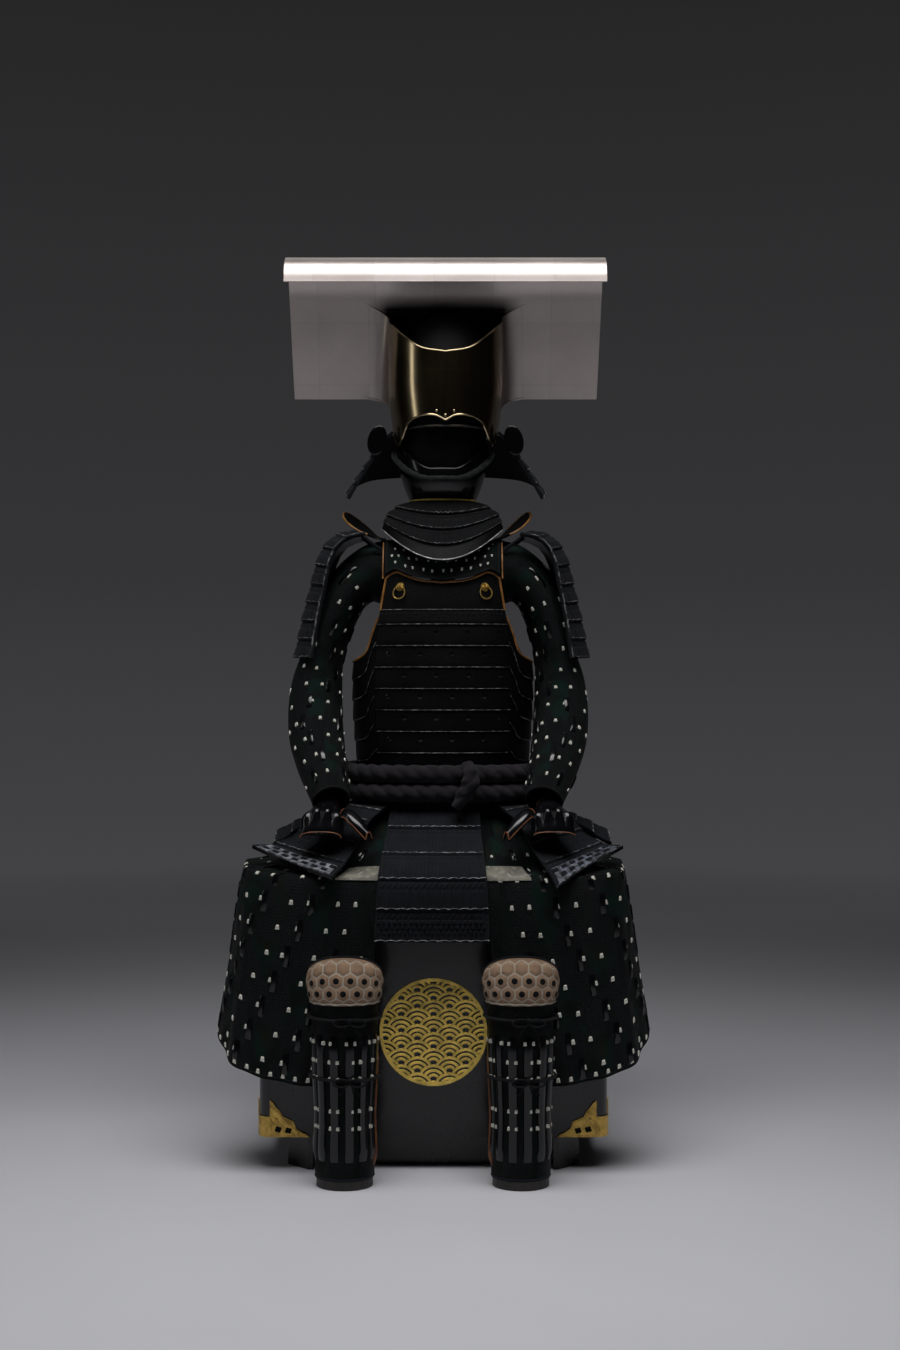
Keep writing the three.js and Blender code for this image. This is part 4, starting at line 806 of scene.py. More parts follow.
def lap(x, y):
    """The height of the lap on which the tassets and the thigh guards lie."""
    turn = np.abs(x) / np.maximum(1, np.hypot(x, y))
    reach = mix(mix(LAP["reach"], LAP["side_reach"], turn * turn), LAP["back_reach"], ease(y / 120))
    way = np.maximum(0, (np.hypot(x / 157, y / 117) - 1) / reach)
    soft = LAP["soft"]
    out = np.where(way < soft, way, 1 - (1 - soft) * np.exp((soft - np.maximum(way, soft)) / (1 - soft)))
    edge = mix(LAP["front"], LAP["side"], turn**3)
    on_thigh = np.where(y > 0, 0.4, ease((np.abs(x) - LAP["valley"]) / LAP["thigh"]))
    return mix(LAP["waist"], edge, mix(out, out**2.2, on_thigh))


# Where a thigh guard turns down: place across, x, y, degrees that it faces away from the front
thigh_edge = reader([
    (0, 90, -263, 0), (0.25, 158, -266, 0), (0.5, 232, -268, 4), (0.7, 290, -260, 24), (0.85, 316, -222, 58),
    (1, 321, -150, 82),
])
# A thigh guard's hem: place across, x, y, z
thigh_hem = reader([
    (0, 112, -284, 143), (0.25, 185, -285, 145), (0.5, 264, -290, 157), (0.7, 324, -278, 176),
    (0.85, 355, -238, 202), (0.95, 367, -192, 226), (1, 370, -168, 254),
])
THIGH = {"tuck": 0.05, "edge": 0.45, "top": 607, "bottom": 588, "folds": 5.5, "wide": 2.3, "fold": 3.5}


def thigh_guard(side):
    def surface(u, v):
        start = torso(side * mix(17, 76, u), np.full(np.shape(u), THIGH["top"]), -PLATE - 4 * GAP)
        edge_x, edge_y, away = thigh_edge(u)
        tuck = vec(start[..., 0], start[..., 1], mix(THIGH["top"], THIGH["bottom"], v / THIGH["tuck"]))
        s = np.clip((v - THIGH["tuck"]) / (THIGH["edge"] - THIGH["tuck"]), 0, 1)
        x, y = mix(start[..., 0], side * edge_x - BODY_SHIFT, s), mix(start[..., 1], edge_y, s)
        over = vec(x, y, lap(x, y) + (THIGH["bottom"] - LAP["waist"]) * (1 - s) ** 6)
        s = np.clip((v - THIGH["edge"]) / (1 - THIGH["edge"]), 0, 1)[..., None]
        away = np.radians(away)
        out = vec(side * np.sin(away), -np.cos(away), 0.0)
        x = side * edge_x - BODY_SHIFT
        start = vec(x, edge_y, lap(x, edge_y))
        hem_x, hem_y, hem_z = thigh_hem(u)
        end = vec(side * hem_x - BODY_SHIFT, hem_y, hem_z)
        shoulder = start + 13 * out + vec(0, 0, -10)
        hang = mix(start, end, 0.4) - 2 * out
        drape = (1 - s) ** 3 * start + 3 * (1 - s) ** 2 * s * shoulder
        drape = drape + 3 * (1 - s) * s**2 * hang + s**3 * end
        wave = np.sin(2 * np.pi * (THIGH["folds"] * u + 0.2))
        wave = wave + 0.5 * np.sin(2 * np.pi * (THIGH["wide"] * u + 0.6))
        drape = drape + THIGH["fold"] * (wave[..., None] * s * s) * out
        lower = np.where((v < THIGH["edge"])[..., None], over, drape)
        return np.where((v < THIGH["tuck"])[..., None], tuck, lower)

    return surface


def thigh_band(side):
    on = thigh_guard(side)

    def surface(u, v):
        across = mix(0, 4, u) / 15
        return raised(on, across, v, -side, GAP + 0.6)

    return surface


def tasset(start, end, hem_from, hem_to, over=11, hump=0, lift=0, side=LEFT, shift=0, drop=0):
    """A skirt panel from the waist, between two angles, to a hem between two (x, y) places."""

    def surface(u, v):
        top = torso(side * mix(start, end, u), np.full(np.shape(u), TASSET_TOP), 0)
        x = mix(top[..., 0], side * mix(hem_from[0], hem_to[0], u) + shift, v)
        y = mix(top[..., 1], mix(hem_from[1], hem_to[1], u), v)
        thigh = hump * np.sin(np.pi * v) + lift * u * u * v**4 - drop * (1 - u) ** 3 * v**9
        return vec(x, y, mix(lap(x, y) + over + thigh, TASSET_TOP, (1 - v) ** 3))

    return surface


TASSET_TOP = 601.3
# The front tasset's profile: place down it, y, z, and x at its two edges
front_tasset = reader([
    (0, -119, TASSET_TOP, -88, 63), (0.15, -148, 572, -92, 64), (0.34, -200, 540, -98, 67),
    (0.53, -252, 516, -102, 70), (0.68, -285, 486, -106, 73), (0.82, -290, 438, -109, 76),
    (1, -292, 386, -111, 78),
])
FRONT_TASSET_EDGES = [0.207, 0.473, 0.68, 0.823, 1]


def tasset_front(u, v):
    y, z, x0, x1 = front_tasset(v)
    x = mix(x0, x1, u)
    return vec(x, y + 0.0018 * x * x * (1 - v), z)


# The left sleeve's middle line: place along it, x, y, z, half width, half depth
sleeve_line = reader([
    (0, 107.8, 0, 1012, 57, 58), (0.08, 132, 0, 1009, 51, 58), (0.2, 165, -2, 978, 42, 58),
    (0.32, 189, -5, 926, 38.5, 55), (0.44, 205, -10, 865, 37.4, 53), (0.54, 214, -19, 812, 45, 52),
    (0.64, 216, -43, 761, 48, 50), (0.74, 211, -81, 714, 48, 47), (0.84, 200, -126, 671, 43, 42),
    (0.93, 187, -170, 634, 37, 36), (1, 181, -196, 613, 32, 31),
])


def sleeve(side):
    def at(t):
        t = np.clip(t, 0, 1)
        x, y, z = sleeve_line(t)[:3]
        return vec(side * (x + 3 * np.sin(np.pi * t)) + ARM_SHIFT * ease(t * 1.6), y, z)

    def surface(u, v):
        along = unit(at(v + 0.02) - at(v - 0.02))
        tangent = unit(mix(vec(side, 0, 0), along, ease(0.1 + v / 0.3)[..., None]))
        wide = side * unit(np.cross(vec(0, -1, 0), tangent))
        deep = side * unit(np.cross(tangent, wide))
        half_wide, half_deep = sleeve_line(v)[3:]
        turn = 2 * np.pi * u
        crease = 1.6 * np.sin(3 * turn + 9 * v) * np.sin(np.pi * np.clip(v / 0.5, 0, 1))
        return (
            at(v) + wide * ((half_wide + crease) * np.cos(turn))[..., None]
            + deep * ((half_deep + crease) * np.sin(turn))[..., None]
        )

    return surface


# A shoulder guard's profile: place down it, x, z
guard_profile = reader([
    (0, 158, 1086), (0.14, 196, 1074), (0.3, 220, 1042), (0.52, 236, 983), (0.76, 251, 920), (1, 263.5, 857),
])
GUARD = {"half": 76, "sweep": 36, "lames": 8}


def shoulder_guard(side):
    def surface(u, v):
        along = 2 * u - 1
        x, z = guard_profile(v)
        x = side * (x - GUARD["sweep"] * along * along * (0.6 + 0.4 * v)) + 0.25 * ARM_SHIFT * v
        return vec(x, GUARD["half"] * along * (0.86 + 0.14 * v), z - 10 * along * along * (1 - v))

    return surface


HAND_FOOT = {LEFT: 563, RIGHT: 558.8}
# A hand's back: place along it, x, y, height, half width
hand_line = reader([
    (0, 185, -190, 618, 21), (0.3, 189, -208, 613, 31), (0.55, 193, -222, 603, 35),
    (0.75, 195, -234, 590, 36), (0.9, 196, -243, 575, 36), (1, 196, -247, 564, 35),
])
# A thumb: place along it, x, y, z, half width
thumb_line = reader([
    (0, 158, -214, 601, 12), (0.35, 146, -226, 599, 16), (0.7, 129, -241, 584, 15), (1, 114, -253, 564, 8),
])


def hand_plate(side):
    def surface(u, v):
        x, y, rise, half = hand_line(v)
        across = 2 * u - 1
        low = HAND_FOOT[side] + (y + 190) * 0.1
        dome = (1 - np.abs(across) ** 3) ** 0.5
        x = side * (x + half * across) + ARM_SHIFT
        return vec(x, y - 4 * (1 - across * across), low + (rise - low) * dome)

    return surface


def knuckles(u, v):
    """Height of the knuckles over the hand plate."""
    ridge = 6.5 * np.exp(-(((v - 0.66) / 0.14) ** 2))
    return ridge * np.abs(np.sin(4 * np.pi * u)) ** 0.8


def thumb_plate(side):
    def surface(u, v):
        x, y, z, half = thumb_line(v)
        across = 2 * u - 1
        return vec(
            side * (x + 0.6 * half * across) + ARM_SHIFT, y - 0.8 * half * across,
            z - 16 * (1 - (1 - np.abs(across) ** 2.2) ** 0.5),
        )

    return surface


SHIN = {"x": 143, "y": -341, "bottom": 14.4, "top": 296, "knee_top": 374}
# Plans of shin and knee: height, half width, half depth, and how far back the knee leans
shin_plan = reader([(14, 48, 43), (60, 49, 43), (110, 47, 42), (180, 50, 44), (250, 53, 45), (296, 54, 45)])
knee_plan = reader([(296.4, 55, 46, 0), (318, 60, 48, 0), (348, 61, 46, 3), (374, 57, 38, 8)])


def shin_guard(side):
    def surface(u, v):
        z = mix(SHIN["top"], SHIN["bottom"], v)
        rx, ry = shin_plan(z)
        turn = 2 * np.pi * u
        return vec(side * SHIN["x"] + rx * np.sin(turn), SHIN["y"] - ry * np.cos(turn), z)

    return surface


def knee_guard(side):
    def surface(u, v):
        turn = np.radians(mix(-104, 104, u))
        z = mix(SHIN["top"] + GAP, SHIN["knee_top"], v * (1 - 0.6 * np.abs(2 * u - 1) ** 2.2))
        rx, ry, y = knee_plan(z)
        return vec(side * SHIN["x"] + rx * np.sin(turn), SHIN["y"] + y - ry * np.cos(turn), z)

    return surface


# The head block's plan: height, half width, half depth
head_plan = reader([
    (1118, 42, 42), (1140, 55, 62), (1170, 67, 79), (1205, 76, 86), (1245, 79, 90), (1300, 78.5, 91),
    (1350, 72, 83), (1400, 54, 64), (1440, 24, 30), (1452, 6, 7),
])
MASK = {"half": 104, "low": 1137, "front": 1190, "ear": 1238}


def head(degrees, z, off=0.0):
    rx, ry = head_plan(z)
    return vec((rx + off) * np.sin(np.radians(degrees)), -(ry + off) * np.cos(np.radians(degrees)), z)


def mask(u, v):
    turn = mix(-MASK["half"], MASK["half"], u)
    top = mix(MASK["front"], MASK["ear"], ease((np.abs(turn) - 14) / 62))
    z = mix(MASK["low"], top, v)
    forward = np.cos(np.radians(np.minimum(90, np.abs(turn))))
    chin = 8 * forward * np.sin(np.pi * np.clip(v * 0.8 + 0.15, 0, 1))
    return head(turn, z, 2 * GAP + PLATE + 1.2 * (1 - v) + chin)


# The throat guard: place down it, half width
throat_half = reader([(0, 56), (0.25, 84), (0.5, 98), (1, 105)])


def throat(u, v):
    turn = np.radians(mix(-96, 96, u))
    s, c = np.sin(turn), np.cos(turn)
    low = MASK["low"] - 0.7 - v * (50 + 62 * np.maximum(0, c) ** 2)
    return vec(throat_half(v)[0] * s, -18 - mix(50, 112, v**0.8) * c, low)


# The helmet bowl's plan: height, half width, half depth
bowl_plan = reader([
    (1262, 88.5, 110), (1300, 93.5, 114), (1350, 95, 115), (1395, 87, 105), (1435, 68, 81), (1462, 44, 52),
    (1476, 14, 16),
])
CREST = {
    "half": 281.5, "half_foot": 277.5, "foot": 1335, "widening": 180, "tip": 143, "side_y": -16,
    "front_y": -118,
}
# The crest's plate: height, y
plate_line = reader([(1236, 112), (1335, 70), (1420, 35), (1497, 5), (1520, -5)])
# The bulge round the bowl: height, half width, and its upper and lower edges by the place round it
bulge_side = reader([(1236, 91), (1262, 92.5), (1300, 98), (1345, 102), (1500, 102)])
bulge_top = reader([
    (0, 1497), (0.07, 1486), (0.143, 1475), (0.22, 1468), (0.42, 1460), (0.52, 1452), (0.6, 1442),
    (0.68, 1428), (0.84, 1400), (1, 1391),
])
bulge_foot = reader([
    (0, 1336), (0.12, 1326), (0.22, 1305), (0.34, 1272), (0.46, 1248), (0.56, 1234), (0.62, 1242),
    (0.7, 1266), (0.78, 1277), (0.86, 1281), (0.93, 1280), (1, 1271),
])


def bowl_ring(degrees, z, off):
    rx, ry = bowl_plan(z)
    return vec((rx + off) * np.sin(np.radians(degrees)), 2 - (ry + off) * np.cos(np.radians(degrees)), z)


def bulge(u, v):
    s = 1 - np.abs(2 * u - 1)
    z = mix(bulge_top(s)[0], bulge_foot(s)[0], v)
    plate_y = plate_line(z)[0]
    side_x = bulge_side(z)[0]
    tip, side_y, front_y = CREST["tip"], CREST["side_y"], CREST["front_y"]
    middle = plate_y - (plate_y - side_y) * 0.5
    turn = np.clip(s / 0.22, 0, 1) * np.pi / 2
    x = np.where(s < 0.22, tip - (tip - side_x) * np.sin(turn), side_x)
    y = np.where(s < 0.22, mix(plate_y, middle, 1 - np.cos(turn)), mix(middle, side_y, (s - 0.22) / 0.2))
    turn = np.clip((s - 0.42) / 0.58, 0, 1) * np.pi / 2
    x = np.where(s < 0.42, x, side_x * np.cos(turn))
    y = np.where(s < 0.42, y, side_y + (front_y - side_y) * np.sin(turn))
    return vec(np.where(u < 0.5, -x, x), y, z)


# The crest's profile: place up it, y, z
crest_profile = reader([
    (0, 70, CREST["foot"]), (0.34, 35, 1420), (0.6, 5, 1497), (0.7, -7, 1524), (0.77, -24, 1546),
    (0.83, -49, 1560), (0.88, -76, 1563.5), (0.93, -104, 1551), (0.97, -118, 1531), (1, -123, 1512),
])


def crest(u, v):
    y, z = crest_profile(v)
    half = mix(CREST["half_foot"], CREST["half"], np.clip((z - CREST["foot"]) / CREST["widening"], 0, 1))
    return vec(mix(-half, half, u), y + LEAF, z)


# The neck guard's lower edge: degrees from the front, height
neck_foot = reader([(76, 1141), (95, 1156), (130, 1190), (180, 1206)])


def neck_guard(u, v):
    turn = mix(76, 284, u)
    foot = neck_foot(np.where(turn > 180, 360 - turn, turn))[0]
    rx, ry = mix(97, 178, v**0.85), mix(119, 164, v)
    angle = np.radians(turn)
    return vec(rx * np.sin(angle), 4 - ry * np.cos(angle), mix(1261.5, foot, v))


# Shared parts of laced, riveted and quilted panels
def even_edges(count):
    """The lower edges of lames of one height."""
    return [k / count for k in range(1, count + 1)]


class Lames:
    """Rows of a panel made of lames, from the places of their lower edges."""

    def __init__(self, cut, edges, step=LAME_STEP, lip=0.003):
        self.cut, self.step = cut, step
        self.starts = np.array([0.0] + [e + lip for e in edges[:-1]])
        self.ends = np.array([e - lip for e in edges[:-1]] + [1.0])

    def rows(self, per):
        return np.concatenate([np.linspace(a, b, per + 1) for a, b in zip(self.starts, self.ends)])

    def where(self, v):
        """Share of the way down the lame, and the distance from its top and its length in millimetres."""
        k = np.clip(np.searchsorted(self.starts, v + 1e-6) - 1, 0, len(self.starts) - 1)
        share = np.clip((v - self.starts[k]) / (self.ends[k] - self.starts[k]), 0, 1)
        top = np.interp(self.starts[k], self.cut.at, self.cut.t)
        foot = np.interp(self.ends[k], self.cut.at, self.cut.t)
        return share, np.interp(v, self.cut.at, self.cut.t) - top, foot - top

    def plain(self, u, v):
        share = self.where(v)[0]
        return self.step * share * (1 - 0.35 * np.clip((share - 0.93) / 0.07, 0, 1))

    def laced(self, rib=6.0, braid_row=13.0, twist=9.0, deep=2.2):
        def height(u, v):
            s = np.interp(u, self.cut.at, self.cut.s)
            share, down, length = self.where(v)
            row = np.clip(down / braid_row, 0, 1)
            plait = np.abs(np.sin(np.pi * (s / twist + 0.9 * row))) ** 0.7 * np.sin(np.pi * row) ** 0.5
            below = np.clip((down - braid_row) / np.maximum(length - braid_row, 1), 0, 1)
            ends = np.sqrt(np.clip(np.minimum(below * 6, (1 - below) * 8), 0, 1))
            ribs = np.abs(np.cos(np.pi * s / rib)) ** 0.6 * ends
            return self.step * share + deep * np.where(down < braid_row, plait, ribs)

        return height


def laced_panel(
    surface, side, edges, fine=1.3, step=LAME_STEP, scallop=16.0, rim=1.0, shift=BODY_SHIFT, **lacing
):
    """Lames covered with silk lacing, a pale line along each lower edge and a border round the panel."""
    cut = Cut(surface, side)
    lames = Lames(cut, edges, step)
    piece = Piece(shift)
    columns = int(cut.width / fine)
    per = max(6, int(cut.length / len(edges) / (2.2 if fine < 2 else 4)))
    wall(piece, cut, columns + 1, lames.rows(per), 13, PLATE, lames.laced(**lacing), inner_look=1)
    u = steps(max(24, int(cut.width / 1.6)))
    s = np.interp(u, cut.at, cut.s)
    for end in lames.ends:
        dip = 1.8 * np.abs(np.sin(np.pi * s / scallop)) / cut.length
        line_on(cut, u, np.clip(end - 0.006 - dip, 0, 1), step + 1.2, piece, rim, look=2, flat=0.8)
    v = lames.rows(5)
    for edge in (0.004, 0.996):
        line_on(cut, edge, v, lames.plain(0, v) + 1.0, piece, 1.6)
    return piece, cut, lames


def closed_rings(piece, rings):
    """A closed body from rings of points, with a flat face at each end."""
    size = len(rings[0])
    first = piece.count
    piece.add(np.concatenate(rings), ring_faces(len(rings), size))
    for ring, turned in ((0, True), (len(rings) - 1, False)):
        piece.cap(first + ring * size + np.arange(size), turned)


def border(count, inset):
    """A closed run of places round a panel's edge."""
    t = np.linspace(inset, 1 - inset, count)
    one = np.ones(count)
    u = np.concatenate([t, one * (1 - inset), t[::-1], one * inset])
    v = np.concatenate([one * inset, t, one * (1 - inset), t[::-1]])
    keep = np.append(True, (np.diff(u) != 0) | (np.diff(v) != 0))
    return u[keep], v[keep]


def helix_rope(piece, points, radius, strands, lay, depth, sides, loop=False):
    """A rope of twisted strands: its section has a lobe for each strand, and turns along the rope."""
    points = np.asarray(points, float)
    along = np.concatenate([[0], np.cumsum(np.linalg.norm(np.diff(points, axis=0), axis=1))])
    if loop:
        total = along[-1] + np.linalg.norm(points[0] - points[-1])
        lay = total / max(1, round(total / lay))
    turn = 2 * np.pi * np.arange(sides) / sides
    phase = strands * turn[None] + 2 * np.pi * along[:, None] / lay
    lobes = np.abs(np.cos(phase / 2)) ** 0.5
    radius = np.broadcast_to(np.asarray(radius, float), (len(points),))
    tube(piece, points, radius[:, None] * (1 - depth + depth * 1.25 * lobes), sides=sides, loop=loop)


def lattice(region, row_step, pair_step, drift, first=0.0, width=7.0, height=8.6, apart=26.0):
    """Trapezoid ends of lacing in pairs on staggered rows. region is (s0, s1, t0, t1) in millimetres."""
    s0, s1, t0, t1 = region
    places = []
    for row, t in enumerate(np.arange(t0, t1, row_step)):
        start = s0 + first + drift * row - pair_step * math.floor(drift * row / pair_step)
        for s in np.arange(start - pair_step, s1, pair_step):
            for part in (-apart / 2, apart / 2):
                if s0 + 4 < s + part < s1 - 4:
                    places.append((s + part, t))
    places = np.array(places) + random.normal(0, 0.8, (len(places), 2))
    return box_corners(places[:, 0], places[:, 1], width, height, 0.6), places


def carried(name, material, bevel=0.0):
    """A solid of the frame that stays, with its finish and softened edges."""
    obj = bpy.data.objects[name]
    obj.data.materials.clear()
    obj.data.materials.append(material)
    if bevel:
        made = obj.modifiers.new("edges", "BEVEL")
        made.width = bevel
        made.segments = 3
        made.limit_method = "ANGLE"
        made.angle_limit = math.radians(35)


# The armour chest
CHEST = {
    "width": 584, "front": -251, "back": 241, "bottom": 54, "lid_bottom": 388, "top": 478, "radius": 20,
    "board": 12, "lid_lap": 4,
}


def rounded_ring(half, front, back, radius, z):
    turn = np.linspace(0, np.pi / 2, 9)
    middle = [(half - radius, back - radius, 0), (-half + radius, back - radius, 1)]
    middle += [(-half + radius, front + radius, 2), (half - radius, front + radius, 3)]
    rows = [
        vec(x + radius * np.cos(turn + k * np.pi / 2), y + radius * np.sin(turn + k * np.pi / 2), z)
        for x, y, k in middle
    ]
    return np.concatenate(rows)


def shell_of_rings(piece, half, front, back, radius, profile):
    """A closed shell of rounded rectangles, each inset from the outline, from one flat end to the other."""
    rings = [
        rounded_ring(half - inset, front + inset, back - inset, max(radius - inset, 1.5), z)
        for inset, z in profile
    ]
    closed_rings(piece, rings)


def chest():
    c = CHEST
    half, rim, floor = c["width"] / 2, c["top"] - c["board"] - GAP, c["bottom"] + c["board"]
    body = Piece()
    shell_of_rings(body, half, c["front"], c["back"], c["radius"], [
        (12, floor), (12, rim), (1.2, rim), (0, rim - 1.2), (0, c["bottom"] + 2), (0.6, c["bottom"] + 0.6),
        (2, c["bottom"]),
    ])
    body.wear("chest_body_lacquered", [LACQUER], "chest_lacquer", "chest_body")
    lap_by = c["lid_lap"]
    lid = Piece()
    inside = lap_by - GAP
    shell_of_rings(lid, half + lap_by, c["front"] - lap_by, c["back"] + lap_by, c["radius"] + lap_by, [
        (inside, c["top"] - c["board"]), (inside, c["lid_bottom"]), (0.9, c["lid_bottom"]),
        (0, c["lid_bottom"] + 0.9), (0, c["top"] - 5), (0.8, c["top"] - 2.2), (2.4, c["top"] - 0.6),
        (5, c["top"]),
    ])
    lid.wear("chest_lid_lacquered", [LACQUER], "chest_lacquer", "chest_lid")
    carried("chest_base", LACQUER, 0.0018)
    for end in ("front", "back"):
        for side in SIDES.values():
            carried(f"corner_mount_{end}_{side}", GILT, 0.0004)
    for side in SIDES:
        mount_details(side)


def mount_details(side):
    """Pierced clouds, a nail and a raised rim on a front corner mount."""
    c = CHEST
    y = c["front"] - GAP - 1.6
    corner = side * (c["width"] / 2 - c["radius"] + 1)
    z = c["bottom"] + 1
    piece = Piece()
    outline = np.array([(2, 2), (60, 2), (51, 8), (43, 12), (38, 23), (22, 31), (15, 41), (2, 57)], float)
    corners = np.vstack([outline, outline[:1]])
    run = reader([(k, *row) for k, row in enumerate(corners)])(np.linspace(0, 8, 90)[:-1])
    tube(piece, vec(corner - side * run[0], y - 0.2, z + run[1]), 0.8, 6, loop=True)
    for cx, cz in ((14, 13), (31, 11)):
        for way in range(4):
            turn = way * math.pi / 2 + 0.5
            at = vec(corner - side * (cx + 3.2 * math.cos(turn)), y + 0.1, z + cz + 2.6 * math.sin(turn))
            studs(piece, at, vec(0, -1, 0), 4.2 * 0.8, 0.25, look=1)
    studs(piece, vec(corner - side * 11, y, z + 30), vec(0, -1, 0), 2.4, 1.6)
    studs(piece, vec(corner - side * 47, y, z + 5.5), vec(0, -1, 0), 1.9, 1.3)
    piece.wear(f"corner_mount_trim_{SIDES[side]}", [GILT, BLACK], "gilt_mounts")


EMBLEM = {
    "z": 230, "radius": 91, "scale": 27.0, "rings": (1.0, 0.72, 0.44), "line": 5.2, "high": 1.3, "fine": 230,
}


def emblem():
    """A gold disc of overlapping wave scales, a traditional pattern."""
    e = EMBLEM
    count = e["fine"]
    grid = np.linspace(-e["radius"], e["radius"], count)
    x, z = np.meshgrid(grid, grid, indexing="ij")
    size, row_step = e["scale"], e["scale"] * 0.5
    found = np.full(x.shape, -1.0)
    for row in range(-14, 15):
        centre_z = row * row_step
        shift = size if row % 2 else 0.0
        across = np.abs((x - shift + size) % (2 * size) - size)
        far = np.hypot(across, z - centre_z) / size
        take = (found < 0) & (far < 1) & (z > centre_z - size)
        found = np.where(take, far, found)
    line = np.min([np.abs(found - r + e["line"] / size / 2) for r in e["rings"]], axis=0) * size
    high = np.clip(1.25 - line / (e["line"] / 2), 0, 1)
    far = np.hypot(x, z)
    band = np.abs(far - e["radius"] + 3.2)
    high = np.where(far > e["radius"] - 6.4, np.clip(2 - band / 2.4, 0, 1), high)
    y = CHEST["front"] - 0.15 - e["high"] * high
    points = vec(x, y, e["z"] + z).reshape(-1, 3)
    i, k = np.meshgrid(np.arange(count - 1), np.arange(count - 1), indexing="ij")
    keep = np.hypot(x, z)[:-1, :-1] < e["radius"] - 1
    i, k = i[keep], k[keep]
    first, second = i * count + k, (i + 1) * count + k
    faces = np.stack([first, second, second + 1, first + 1], 1)
    looks = (high[:-1, :-1][keep] > 0.35).astype(int)
    used = np.unique(faces)
    place_of = np.zeros(len(points), int)
    place_of[used] = np.arange(len(used))
    piece = Piece()
    piece.add(points[used], place_of[faces], looks, points[faces][..., [0, 2]])
    piece.wear("chest_emblem", [LACQUER, GOLD], "gilt_mounts")


# The cuirass
def cuirass():
    t = TORSO
    rivet_rows = ((-67, -11, 45, 101), (-95, -39, 17, 73))

    def panel(name, start, end, top, node):
        edges = []
        z = t["first_edge"] + (2 * PITCH if top > t["front_top"] else 0)
        while z > t["bottom"] + PITCH:
            edges.append((top - z) / (top - t["bottom"]))
            z -= PITCH
        cut = Cut(lambda u, v: torso(mix(start, end, u), mix(top, t["bottom"], v)), -1)
        lames = Lames(cut, edges + [1])
        piece = Piece(BODY_SHIFT)
        wall(piece, cut, 73, lames.rows(7), 13, PLATE, lames.plain)
        for end_v in lames.ends[:-1]:
            line_on(cut, steps(90), end_v, LAME_STEP * 0.8, piece, 0.5, look=1)
        piece.wear(name, [LEATHER_LACQUER, EDGE], "lacquered_iron", node)
        return cut, lames

    cut, lames = panel("cuirass_front_lames", -FRONT_EDGE, FRONT_EDGE, t["front_top"], "cuirass_front")
    studs_piece = Piece(BODY_SHIFT)
    xs = cut.surface(cut.at, np.full(len(cut.at), 0.5))[:, 0]
    for row, v_edge in enumerate(lames.ends[:-1]):
        v = v_edge + 0.006 + 12 / cut.length
        for x in rivet_rows[row % 2]:
            u = np.interp(x, xs, cut.at)
            at = cut.on(u, v, LAME_STEP * 0.35)
            studs(studs_piece, at, normals(cut.surface, np.array(u), np.array(v), -1), 4.3, 0.9, sides=14)
    foot_row = box_corners(np.arange(7.0, cut.width - 4, 9.0), 0.985 * cut.length - 9, 3.2, 9)
    plaques(studs_piece, cut, foot_row, 1.8 + LAME_STEP, look=1, sink=0.0)
    top_row = box_corners(np.arange(6.0, cut.width - 4, 9.0), 6.0, 6.0, 3.2)
    plaques(studs_piece, cut, top_row, 1.6, look=1)
    studs_piece.wear("cuirass_rivets", [PLATE_LACQUER, LACING], "lacquered_iron")
    panel("cuirass_back_lames", 180 - FRONT_EDGE, 180 + FRONT_EDGE, t["back_top"], "cuirass_back")

    for side, word in SIDES.items():
        start, end = FRONT_EDGE + SEAM, 180 - FRONT_EDGE - SEAM

        def surface(u, v, side=side, start=start, end=end):
            turn = mix(start, end, u)
            return torso(side * turn, mix(side_plate_top(turn)[0], t["bottom"], v))

        count = round((t["armhole"] - t["bottom"]) / PITCH)
        cut = Cut(surface, -side)
        lames = Lames(cut, even_edges(count))
        piece = Piece(BODY_SHIFT)
        wall(piece, cut, 61, lames.rows(7), 9, PLATE, lames.plain)
        for v_edge in lames.ends[:-1]:
            line_on(cut, steps(70), v_edge, LAME_STEP * 0.75, piece, 0.65, look=1)
        line_on(cut, steps(70), 0.004, 0.2, piece, 2.1, look=2)
        piece.wear(f"cuirass_side_lames_{word}", [LEATHER_LACQUER, EDGE, ORANGE], "lacquered_iron",
                   f"cuirass_side_{word}")

    cut = Cut(chest_plate, -1)
    piece = Piece(BODY_SHIFT)
    wall(piece, cut, 97, 13, 5, PLATE)
    line_on(cut, steps(130), 0.004, 0.0, piece, 2.3, look=1, sides=8)
    for edge in (0.006, 0.994):
        line_on(cut, edge, steps(20), 0.2, piece, 2.1, look=1, sides=8)
    line_on(cut, steps(130), 0.985, 0.5, piece, 0.7, look=2)
    piece.wear("chest_plate_lacquered", [LEATHER_LACQUER, ORANGE, EDGE], "lacquered_iron", "chest_plate")


